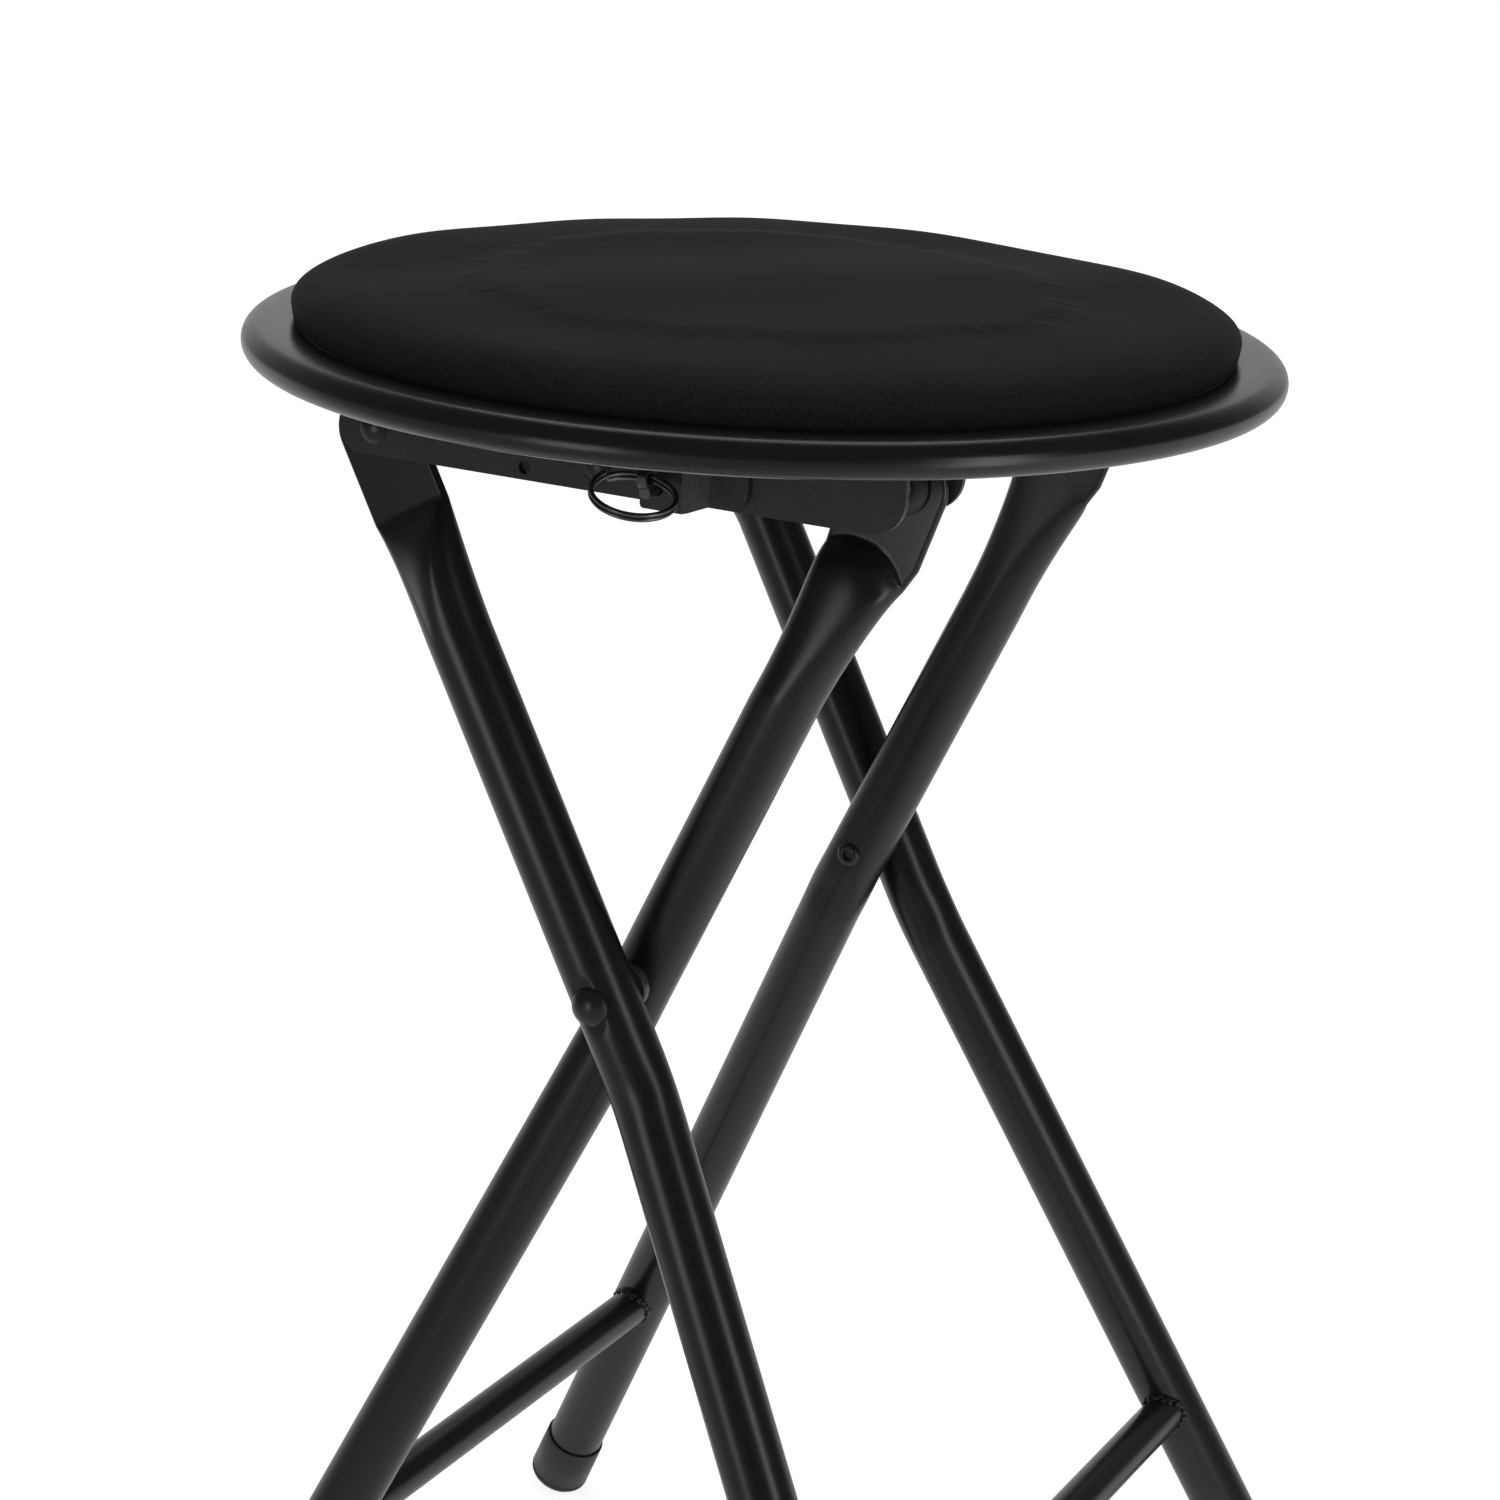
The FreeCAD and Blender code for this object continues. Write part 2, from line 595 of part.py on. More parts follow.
def latch_pin():
    """Spring pin: tip for the link's notch, collar for the spring, upright eye for the ring."""
    end = eye_y + pin_end
    back = latch_face + pin_push + gap
    pin = disc(pin_x, pin_tip, end, pin_z, latch_pin_radius)
    pin = pin.fuse(disc(pin_x, collar_y, collar_y + pin_collar_length, pin_z, pin_collar_radius))
    left = pin_x - eye_width / 2
    side = Vector(1, 0, 0)
    eye = Part.makeCylinder(eye_radius, eye_width, Vector(left, eye_y, eye_z), side)
    stem = Part.makeBox(eye_width, end - back, eye_rise, Vector(left, back, pin_z))
    pin = pin.fuse(stem).fuse(eye).removeSplitter()
    bore = Part.makeCylinder(eye_bore, 3 * eye_width, Vector(left - eye_width, eye_y, eye_z), side)
    return pin.cut(bore)


def coil(radius, pitch, turns, wire):
    """Round wire wound about Z from z = 0."""
    helix = Part.makeHelix(pitch, pitch * turns, radius)
    first = helix.Edges[0]
    point = first.valueAt(first.FirstParameter)
    way = first.tangentAt(first.FirstParameter)
    circle = Part.Wire(Part.Circle(point, way, wire).toShape())
    return Part.Wire(helix.Edges).makePipeShell([circle], True, True)


def latch_spring():
    """Compression spring between the pin's collar and the latch bracket's face."""
    low = collar_y + pin_collar_length + spring_wire
    high = latch_face - latch_sheet - spring_wire
    pitch = (high - low) / spring_turns
    spring = coil(spring_radius, pitch, spring_turns, spring_wire)
    spring.rotate(Vector(0, 0, 0), Vector(1, 0, 0), -90)
    spring.translate(Vector(pin_x, low, pin_z))
    return spring


def half_turn(low, side, first, last):
    """Part of a half turn of the ring's wire, from first to last degrees: it starts at side
    (1 or -1) along Y, turns about Z and climbs half the pitch on a tilted plane."""
    start = Vector(0, side * ring_radius, low)
    end = Vector(0, -side * ring_radius, low + ring_pitch / 2)
    centre = (start + end) * 0.5
    way = Vector(-side, 0, 0)
    axis = (start - centre).cross(way)
    section = Part.Face(Part.Wire(Part.Circle(start, way, ring_wire).toShape()))
    section.rotate(centre, axis, first)
    return section.revolve(centre, axis, last - first)


def pull_ring():
    """Split ring of nearly two turns through the pin's eye, its half turns joined end to end."""
    short = 180 * (2 - ring_turns)
    halves = [half_turn(0, 1, short, 180), half_turn(ring_pitch / 2, -1, 0, 180),
              half_turn(ring_pitch, 1, 0, 180), half_turn(1.5 * ring_pitch, -1, 0, 180 - short)]
    ring = halves[0].multiFuse(halves[1:]).Solids[0]
    ring.translate(Vector(0, ring_radius, -ring_pitch))
    ring.rotate(Vector(0, 0, 0), Vector(0, 1, 0), ring_roll)
    ring.rotate(Vector(0, 0, 0), Vector(1, 0, 0), -ring_droop)
    ring.translate(Vector(pin_x, eye_y, eye_z))
    return ring


def polar(centre, radius, degrees):
    """Point in the XZ plane round a centre, at an angle above level."""
    turn = math.radians(degrees)
    return Vector(centre.x + radius * math.cos(turn), 0, centre.z + radius * math.sin(turn))


def revolved(outline):
    """Solid of revolution about the seat's middle from lines and arcs in the XZ plane."""
    face = Part.Face(Part.Wire([e.toShape() for e in outline]))
    solid = face.revolve(Vector(0, 0, 0), Vector(0, 0, 1), 360)
    solid.translate(Vector(seat_x, 0, 0))
    return solid


def seat_rim():
    """Pressed ring round the pad: ledge under the board, level top and rolled edge."""
    crest = Vector(rim_radius - rim_round, 0, rim_bottom + rim_round)
    foot = Vector(pad_radius - pad_waist, 0, rim_inner)
    heel = Vector(board_radius + 2 * pad_clear, 0, board_z)
    ledge = Vector(rim_ledge_radius, 0, board_z)
    down = Vector(0, 0, -rim_sheet)
    aside = Vector(-0.3 * rim_sheet, 0, -rim_sheet)
    top = polar(crest, rim_round, rim_roll_top)
    side = polar(crest, rim_round, 0)
    end = polar(crest, rim_round, -rim_roll_end)
    hollow = rim_round - rim_sheet
    in_top = polar(crest, hollow, rim_roll_top)
    in_side = polar(crest, hollow, 0)
    in_end = polar(crest, hollow, -rim_roll_end)
    swell = (foot + top) * 0.5 + Vector(0, 0, rim_swell)
    in_swell = (foot + aside + in_top) * 0.5 + Vector(0, 0, rim_swell)
    return revolved([
        Part.LineSegment(ledge, heel),
        Part.LineSegment(heel, foot),
        Part.Arc(foot, swell, top),
        Part.Arc(top, side, end),
        Part.LineSegment(end, in_end),
        Part.Arc(in_end, in_side, in_top),
        Part.Arc(in_top, in_swell, foot + aside),
        Part.LineSegment(foot + aside, heel + aside),
        Part.LineSegment(heel + aside, ledge + down),
        Part.LineSegment(ledge + down, ledge),
    ])


def seat_board():
    board = Part.makeCylinder(board_radius, board_thickness, Vector(seat_x, 0, board_z))
    for side in (1, -1):
        for x, y in bracket_screw_spots():
            board = board.cut(Part.makeCylinder(screw_shank_radius, screw_bite,
                                                Vector(x, side * y, board_z)))
    return board


def seat_cushion():
    """Foam pad in its cover: flat on the board, skirt round it, drawn-in side and crown."""
    bottom = board_z + board_thickness
    inner = board_radius + pad_clear
    lip = board_z + pad_clear
    heel = Vector(board_radius + 3 * pad_clear, 0, lip)
    foot = Vector(pad_radius - pad_waist + pad_clear, 0, rim_inner + 1.5 * pad_clear)
    wide = Vector(pad_radius, 0, foot.z + pad_low_side)
    edge = Vector(pad_radius - pad_shoulder, 0, wide.z + pad_shoulder_rise)
    crown_z = edge.z + pad_crown
    ball = (edge.x * edge.x + pad_crown * pad_crown) / (2 * pad_crown)
    half = math.asin(edge.x / ball) / 2
    low_middle = (foot + wide) * 0.5 + Vector(0.25 * pad_waist, 0, 0)
    shoulder_middle = Vector(wide.x - 0.26 * pad_shoulder, 0, wide.z + 0.72 * pad_shoulder_rise)
    crown_middle = Vector(ball * math.sin(half), 0, crown_z - ball * (1 - math.cos(half)))
    return revolved([
        Part.LineSegment(Vector(0, 0, bottom), Vector(inner, 0, bottom)),
        Part.LineSegment(Vector(inner, 0, bottom), Vector(inner, 0, lip)),
        Part.LineSegment(Vector(inner, 0, lip), heel),
        Part.LineSegment(heel, foot),
        Part.Arc(foot, low_middle, wide),
        Part.Arc(wide, shoulder_middle, edge),
        Part.Arc(edge, crown_middle, Vector(0, 0, crown_z)),
        Part.LineSegment(Vector(0, 0, crown_z), Vector(0, 0, bottom)),
    ])


# Inner frame
inner_leg = stand(leg(inner_tube_y, inner_flat_y, inner_arm, inner_bend_drop, inner_flare,
                      inner_lean, inner_flat_below, inner_neck, inner_flat_width, inner_top_width,
                      inner_step_fullness, shank_radius), inner_lean)
save("inner_leg_rear", inner_leg)
save("inner_leg_front", front(inner_leg))
save("inner_crossbar", crossbar(inner_bar_height, inner_lean, -1, inner_tube_y,
                                inner_bend_drop, inner_flare))
inner_cap = foot_cap(inner_tube_y, inner_bend_drop, inner_flare, inner_lean, 1)
save("foot_cap_inner_rear", inner_cap)
save("foot_cap_inner_front", front(inner_cap))

# Outer frame
outer_leg = stand(leg(outer_tube_y, outer_flat_y, outer_arm, outer_bend_drop, outer_flare,
                      outer_lean, outer_flat_below, outer_neck, outer_flat_width, outer_top_width,
                      outer_step_fullness, shank_radius + running_fit), -outer_lean)
save("outer_leg_rear", outer_leg)
save("outer_leg_front", front(outer_leg))
save("outer_crossbar", crossbar(outer_bar_height, outer_lean, 1, outer_tube_y,
                                outer_bend_drop, outer_flare))
outer_cap = foot_cap(outer_tube_y, outer_bend_drop, outer_flare, outer_lean, -1)
save("foot_cap_outer_rear", outer_cap)
save("foot_cap_outer_front", front(outer_cap))

# Pivots
for name, piece in (("cross_rivet", cross_rivet()), ("cross_spacer", cross_spacer()),
                    ("seat_pivot_rivet", seat_pivot_rivet()),
                    ("seat_pivot_washer", seat_pivot_washer()),
                    ("brace_pivot_rivet", brace_pivot_rivet()),
                    ("link_rivet_head", link_rivet_head()), ("link_rivet_tail", link_rivet_tail()),
                    ("brace_link", link())):
    save(name + "_rear", piece)
    save(name + "_front", front(piece))

# Seat
save("seat_rim", seat_rim())
save("seat_board", seat_board())
save("seat_cushion", seat_cushion())
save("seat_bracket_rear", seat_bracket(False))
save("seat_bracket_front", front(seat_bracket(True)))
screws = [bracket_screw(x, side * y) for side in (1, -1) for x, y in bracket_screw_spots()]
save("bracket_screws", Part.makeCompound(screws))

# Latch
save("latch_bracket", front(latch_bracket()))
save("latch_pin", front(latch_pin()))
save("latch_spring", front(latch_spring()))
save("pull_ring", front(pull_ring()))

print("crossing pivots x %.3f z %.3f" % (pivot_x, pivot_height))
print("outer tops x %.3f, inner tops x %.3f, z %.3f" % (outer_top_x, inner_top_x, pivot_line))
print("brace pivots x %.3f, arms %.3f %.3f, link %.3f" % (brace_x, outer_arm, inner_arm, link_length))
print("at a fold of %.1f the seat turns %.3f and the links %.3f" % (fold_range, seat_turn, link_turn))
print("latch pin x %.3f z %.3f, eye y %.3f z %.3f" % (pin_x, pin_z, eye_y, eye_z))
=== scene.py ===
"""Round padded folding stool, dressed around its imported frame. Lengths are metres."""
import bmesh
import bpy
import math
import numpy as np
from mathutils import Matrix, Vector
from mathutils.kdtree import KDTree


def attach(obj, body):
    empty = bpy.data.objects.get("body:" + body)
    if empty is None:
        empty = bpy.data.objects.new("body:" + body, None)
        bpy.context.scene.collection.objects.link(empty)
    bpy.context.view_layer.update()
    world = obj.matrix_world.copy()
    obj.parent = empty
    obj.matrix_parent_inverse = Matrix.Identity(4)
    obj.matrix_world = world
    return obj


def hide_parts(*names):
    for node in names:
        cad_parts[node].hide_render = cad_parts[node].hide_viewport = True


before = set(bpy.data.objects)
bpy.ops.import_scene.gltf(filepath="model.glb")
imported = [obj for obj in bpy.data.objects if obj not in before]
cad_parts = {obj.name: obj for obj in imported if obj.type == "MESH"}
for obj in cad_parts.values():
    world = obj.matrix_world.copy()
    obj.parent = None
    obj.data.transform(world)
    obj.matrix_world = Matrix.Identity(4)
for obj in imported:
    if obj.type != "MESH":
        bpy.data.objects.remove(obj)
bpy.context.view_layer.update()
mm = 0.001


# Studio
# The stool stands on a pale floor before a white backdrop, with a broad softbox behind and above
# it and two narrow low lamps at its front and right; the front of the room is dim.
room_light = 0.50
room_shine = 0.055
floor_glow = 0.79
patches = [(213, 0, 20, 0.70), (180, 8, 14, 0.30), (-108, 0, 20, 0.12)]


def links(material):
    """Node tree of a material or world, emptied, with a short way to add and join nodes."""
    material.use_nodes = True
    tree = material.node_tree
    tree.nodes.clear()

    def node(kind, **settings):
        made = tree.nodes.new(kind)
        for name, value in settings.items():
            setattr(made, name, value)
        return made

    return node, tree.links.new


def room():
    """World that is white to the eye, evenly dim to the paint's colour, and for its gloss a dark
    room with patches, given as degrees right of the front, degrees up, width and strength: each
    adds strength * exp((cos(angle from its middle) - 1) / width^2)."""
    world = bpy.data.worlds.new("room")
    bpy.context.scene.world = world
    node, join = links(world)
    path = node("ShaderNodeLightPath")
    place = node("ShaderNodeTexCoord")
    total = node("ShaderNodeValue").outputs[0]
    total.default_value = room_shine
    for turn, rise, width, strength in patches:
        turn, rise = math.radians(turn), math.radians(rise)
        toward = node("ShaderNodeVectorMath", operation="DOT_PRODUCT")
        toward.inputs[1].default_value = (math.sin(turn) * math.cos(rise),
                                          -math.cos(turn) * math.cos(rise), math.sin(rise))
        join(place.outputs["Generated"], toward.inputs[0])
        fall = node("ShaderNodeMath", operation="MULTIPLY_ADD")
        fall.inputs[1].default_value = math.radians(width) ** -2
        fall.inputs[2].default_value = -math.radians(width) ** -2
        join(toward.outputs["Value"], fall.inputs[0])
        soft = node("ShaderNodeMath", operation="EXPONENT")
        join(fall.outputs[0], soft.inputs[0])
        sum_up = node("ShaderNodeMath", operation="MULTIPLY_ADD")
        sum_up.inputs[1].default_value = strength
        join(soft.outputs[0], sum_up.inputs[0])
        join(total, sum_up.inputs[2])
        total = sum_up.outputs[0]
    eye = node("ShaderNodeBackground")
    light = node("ShaderNodeBackground")
    light.inputs["Strength"].default_value = room_light
    shine = node("ShaderNodeBackground")
    join(total, shine.inputs["Strength"])
    for made in (eye, light, shine):
        made.inputs["Color"].default_value = (1, 1, 1, 1)
    clear = node("ShaderNodeMath", operation="MAXIMUM")
    join(path.outputs["Is Camera Ray"], clear.inputs[0])
    join(path.outputs["Is Transmission Ray"], clear.inputs[1])
    gloss = node("ShaderNodeMixShader")
    join(path.outputs["Is Glossy Ray"], gloss.inputs[0])
    join(light.outputs[0], gloss.inputs[1])
    join(shine.outputs[0], gloss.inputs[2])
    seen = node("ShaderNodeMixShader")
    join(clear.outputs[0], seen.inputs[0])
    join(gloss.outputs[0], seen.inputs[1])
    join(eye.outputs[0], seen.inputs[2])
    out = node("ShaderNodeOutputWorld")
    join(seen.outputs[0], out.inputs[0])


def floor():
    """Round pale floor, a flat disc; its glow to the eye takes it up to the white of the room, and
    its glow in gloss fades out towards the dim front."""
    ring = np.linspace(0, 2 * math.pi, 96, endpoint=False)
    points = np.stack([6 * np.cos(ring), 6 * np.sin(ring), np.zeros_like(ring)], 1)
    mesh = bpy.data.meshes.new("floor")
    mesh.from_pydata(points.tolist(), [], [list(range(96))])
    disc = bpy.data.objects.new("floor", mesh)
    bpy.context.scene.collection.objects.link(disc)
    material = bpy.data.materials.new("pale_floor")
    node, join = links(material)
    path = node("ShaderNodeLightPath")
    matt = node("ShaderNodeBsdfDiffuse")
    matt.inputs["Color"].default_value = (0.55, 0.55, 0.55, 1)
    glow = node("ShaderNodeEmission")
    seen = node("ShaderNodeMath", operation="MAXIMUM")
    join(path.outputs["Is Camera Ray"], seen.inputs[0])
    join(path.outputs["Is Transmission Ray"], seen.inputs[1])
    share = node("ShaderNodeMath", operation="MULTIPLY")
    share.inputs[1].default_value = floor_glow
    join(seen.outputs[0], share.inputs[0])
    place = node("ShaderNodeTexCoord")
    depth = node("ShaderNodeSeparateXYZ")
    join(place.outputs["Object"], depth.inputs[0])
    behind = node("ShaderNodeMapRange")
    behind.inputs["From Min"].default_value = -0.45
    behind.inputs["From Max"].default_value = 0.05
    behind.inputs["To Min"].default_value = 0.0
    behind.inputs["To Max"].default_value = 0.48
    join(depth.outputs["Y"], behind.inputs["Value"])
    both_ways = node("ShaderNodeMath", operation="MULTIPLY_ADD")
    join(path.outputs["Is Glossy Ray"], both_ways.inputs[0])
    join(behind.outputs[0], both_ways.inputs[1])
    join(share.outputs[0], both_ways.inputs[2])
    join(both_ways.outputs[0], glow.inputs["Strength"])
    both = node("ShaderNodeAddShader")
    join(matt.outputs[0], both.inputs[0])
    join(glow.outputs[0], both.inputs[1])
    out = node("ShaderNodeOutputMaterial")
    join(both.outputs[0], out.inputs["Surface"])
    mesh.materials.append(material)


def softbox(name, place, target, width, height, power, tint=(1, 1, 1)):
    """Rectangular lamp at place, turned to face target."""
    lamp = bpy.data.lights.new(name, "AREA")
    lamp.shape = "RECTANGLE"
    lamp.size = width
    lamp.size_y = height
    lamp.energy = power
    lamp.color = tint
    thing = bpy.data.objects.new(name, lamp)
    bpy.context.scene.collection.objects.link(thing)
    place = np.array(place, float)
    way = np.array(target, float) - place
    thing.location = place
    thing.rotation_euler = Vector(way).to_track_quat("-Z", "Y").to_euler()
    thing.visible_camera = False


room()
floor()
softbox("back_softbox", (-0.60, 1.15, 2.2), (0, 0, 0.45), 1.3, 1.3, 5.2)
softbox("front_lamp", (-0.15, -0.92, 0.31), (0, 0, 0.31), 0.25, 0.40, 0.72, (1.0, 0.965, 0.93))
softbox("right_lamp", (0.72, -0.24, 0.36), (0, 0, 0.36), 0.18, 0.56, 0.95, (1.0, 0.97, 0.94))
bpy.context.scene.view_settings.view_transform = "Standard"

# Camera
# It stands at the front right, a little above the seat, tipped by a few degrees, and cuts off
# the nearer feet, as the photograph does.
camera_turn = math.radians(27.035)
camera_rise = math.radians(17.047)
camera_tip = math.radians(2.722)
camera_aim = np.array([-3.10, 0.0, 326.59]) * mm
camera_distance = 1119.30 * mm
camera_lens = 90.22


def camera():
    """Camera on a sphere about its aim, at the given turn and rise, tipped about its own axis."""
    turn, rise, tip = camera_turn, camera_rise, camera_tip
    back = np.array([math.sin(turn) * math.cos(rise), -math.cos(turn) * math.cos(rise), math.sin(rise)])
    right = np.array([math.cos(turn), math.sin(turn), 0.0])
    up = np.cross(back, right)
    across = math.cos(tip) * right + math.sin(tip) * up
    upward = -math.sin(tip) * right + math.cos(tip) * up
    data = bpy.data.cameras.new("camera")
    data.lens = camera_lens
    data.sensor_width = 36
    data.clip_start = 0.05
    thing = bpy.data.objects.new("camera", data)
    bpy.context.scene.collection.objects.link(thing)
    matrix = np.eye(4)
    matrix[:3, 0] = across
    matrix[:3, 1] = upward
    matrix[:3, 2] = back
    matrix[:3, 3] = camera_aim + camera_distance * back
    thing.matrix_world = matrix.T.tolist()
    bpy.context.scene.camera = thing


camera()


# Leg tubes
# Four steel tubes of 19 mm, bent once, with their tops pressed flat and rounded about the top
# rivet; each frame's pair is welded to a crossbar and powder coated black, satin.
crossing = np.array([2.42, 0, 278.0]) * mm
tube = 9.5 * mm
flat = 3.4 * mm
bend_radius = 140.0 * mm
leg_kinds = {
    "inner": dict(hollow=0, y=70.2, lean=24.6, drop=15.5, flare=8.0, arm=167.173, flat_y=63.0, below=19.0,
                  neck=48.0, width=28.4, top=25.0, margin=0.0, spread=1.8, outside=(1.1, 1.3), inside=1.0,
                  crease=7.5, step=0.42),
    "outer": dict(hollow=1, y=92.2, lean=-27.6, drop=28.0, flare=9.9, arm=171.518, flat_y=90.0, below=25.4,
                  neck=37.0, width=24.0, top=24.0, margin=2.0, spread=1.5, outside=(1.2, 4.0), inside=4.0,
                  crease=0.0, step=0.0),
}
cap_wall = 0.9 * mm
cap_floor = 3.0 * mm
cap_round = 2.2 * mm
foot_flat = 0.6 * mm
hollow_radius = 7.2
hollow_y = 8.8


def mesh_of(name, points, ends=True, sharp=38.0):
    """Object from rings of points, rows by columns by three; each ring is closed, and so are the
    first and last rings if ends is true. Edges sharper than the angle are drawn sharp."""
    rows, columns = points.shape[:2]
    index = np.arange(rows * columns).reshape(rows, columns)
    right = np.roll(index, -1, 1)
    quads = np.stack([index[:-1], right[:-1], right[1:], index[1:]], -1).reshape(-1, 4)
    faces = quads.tolist()
    if ends:
        faces += [index[0, ::-1].tolist(), index[-1].tolist()]
    mesh = bpy.data.meshes.new(name)
    mesh.from_pydata(points.reshape(-1, 3).tolist(), [], faces)
    work = bmesh.new()
    work.from_mesh(mesh)
    bmesh.ops.remove_doubles(work, verts=work.verts, dist=1e-6)
    bmesh.ops.recalc_face_normals(work, faces=work.faces)
    work.to_mesh(mesh)
    work.free()
    mesh.shade_smooth()
    mesh.set_sharp_from_angle(angle=math.radians(sharp))
    thing = bpy.data.objects.new(name, mesh)
    bpy.context.scene.collection.objects.link(thing)
    return thing


def foot_drop(kind):
    """How far below the crossing, along an upright leg, the tube ends in its cap."""
    upright = math.cos(math.radians(kind["lean"])) * math.cos(math.radians(kind["flare"]))
    tilt = math.sqrt(1 - upright * upright)
    end = (tube + cap_wall) * tilt - cap_round * (tilt + upright - 1) - foot_flat
    return (crossing[2] - end - cap_floor * upright) / math.cos(math.radians(kind["lean"]))


def middle_line(kind, along):
    """Points, slopes and lengths of an upright leg's middle line, at distances along it below
    (negative) or above the crossing: straight, then an arc outward, then straight again."""
    flare = math.radians(kind["flare"])
    start = -kind["drop"] * mm + bend_radius * math.tan(flare / 2)
    past = np.maximum(start - along, 0)
    slope = np.minimum(past / bend_radius, flare)
    beyond = np.maximum(past - bend_radius * flare, 0)
    y = kind["y"] * mm + bend_radius * (1 - np.cos(slope)) + beyond * math.sin(flare)
    z = np.maximum(along, start) - bend_radius * np.sin(slope) - beyond * math.cos(flare)
    return y, z, slope


def leg_end(kind):
    """Distance along the middle line at which the tube ends."""
    flare = math.radians(kind["flare"])
    start = -kind["drop"] * mm + bend_radius * math.tan(flare / 2)
    after = -kind["drop"] * mm - bend_radius * math.tan(flare / 2) * math.cos(flare)
    return start - bend_radius * flare - (foot_drop(kind) + after) / math.cos(flare)


def stand(kind, points, front):
    """Leans upright points about the crossing and mirrors them to the front if asked."""
    lean = math.radians(kind["lean"])
    x, y, z = points[..., 0], points[..., 1], points[..., 2]
    side = -1 if front else 1
    return np.stack([crossing[0] + x * math.cos(lean) + z * math.sin(lean), side * y,
                     crossing[2] - x * math.sin(lean) + z * math.cos(lean)], -1)


def leg_points(kind):
    """Rings of a leg from its rounded top to its foot. A ring is a flattened tube, two half
    circles of half its depth joined by flat sides: at angle a it has y = depth / 2 * sin a and
    x = depth / 2 * cos a + (width - depth) / 2 * sin(90 deg * cos a / 0.4, at most 90 deg)."""
    arm = kind["arm"] * mm
    shoulder = arm - kind["below"] * mm
    neck_low = shoulder - kind["neck"] * mm
    end = leg_end(kind)
    top = kind["top"] * mm / 2
    crown = arm + top * np.sin(np.linspace(math.pi / 2, 0, 14))
    tongue = np.linspace(arm, shoulder, 16)[1:]
    neck = np.linspace(shoulder, neck_low, 140)[1:]
    upper = np.linspace(neck_low, 22 * mm, 14)[1:]
    lower = np.linspace(22 * mm, -75 * mm, 90)[1:]
    foot = np.linspace(-75 * mm, end, 20)[1:]
    along = np.concatenate([crown, tongue, neck, upper, lower, foot])[:, None]
    angle = np.linspace(0, 2 * math.pi, 144, endpoint=False)[None, :]
    ring_x, ring_y = np.cos(angle), np.sin(angle)
    side = np.sin(math.pi / 2 * np.clip(ring_x / 0.4, -1, 1))

    share = np.clip((along - neck_low) / (shoulder - neck_low), 0, 1)
    rise = np.clip((along - shoulder) / (arm - shoulder), 0, 1)
    width = 2 * tube + (kind["width"] * mm - 2 * tube) * share ** kind["spread"]
    width = width + (kind["top"] - kind["width"]) * mm * rise
    width = np.where(along > arm, 2 * np.sqrt(np.maximum(top ** 2 - (along - arm) ** 2, 1e-10)), width)
    lag = kind["crease"] * mm * (ring_x + (side - ring_x) * share ** 2) ** 2
    bent = np.clip((along + lag - neck_low) / (shoulder - neck_low), 0, 1)
    left, right = kind["outside"]
    swing = left + (right - left) * (1 + side) / 2
    sunk = (1 - kind["step"]) * bent ** swing + kind["step"] * bent ** 16
    flat_y = kind["flat_y"] * mm
    tube_y = kind["y"] * mm
    front = tube_y + tube + (flat_y + flat / 2 - tube_y - tube) * sunk
    back = tube_y - tube + (flat_y - flat / 2 - tube_y + tube) * bent ** kind["inside"]
    half = np.minimum((front - back) / 2, width / 2)
    middle = (front + back) / 2 - tube_y
    x = half * ring_x + (width / 2 - half) * side
    x = x - kind["margin"] * mm * share * (1 - side) / 2 * width / (kind["width"] * mm)
    y = half * ring_y

    line_y, line_z, slope = middle_line(kind, along)
    bend = np.exp(-((slope - math.radians(kind["flare"]) / 2) / 0.05) ** 2)
    x = x * (1 + 0.025 * bend)
    y = y * (1 - 0.05 * bend)
    hollow = 1 / (1 + np.exp((np.hypot(along, x) / mm - hollow_radius) / 0.5))
    y = y - np.maximum(y - hollow_y * mm, 0) * hollow * kind["hollow"]
    off = middle + y
    return np.stack([x + 0 * line_y, line_y + off * np.cos(slope), line_z + off * np.sin(slope)], -1)


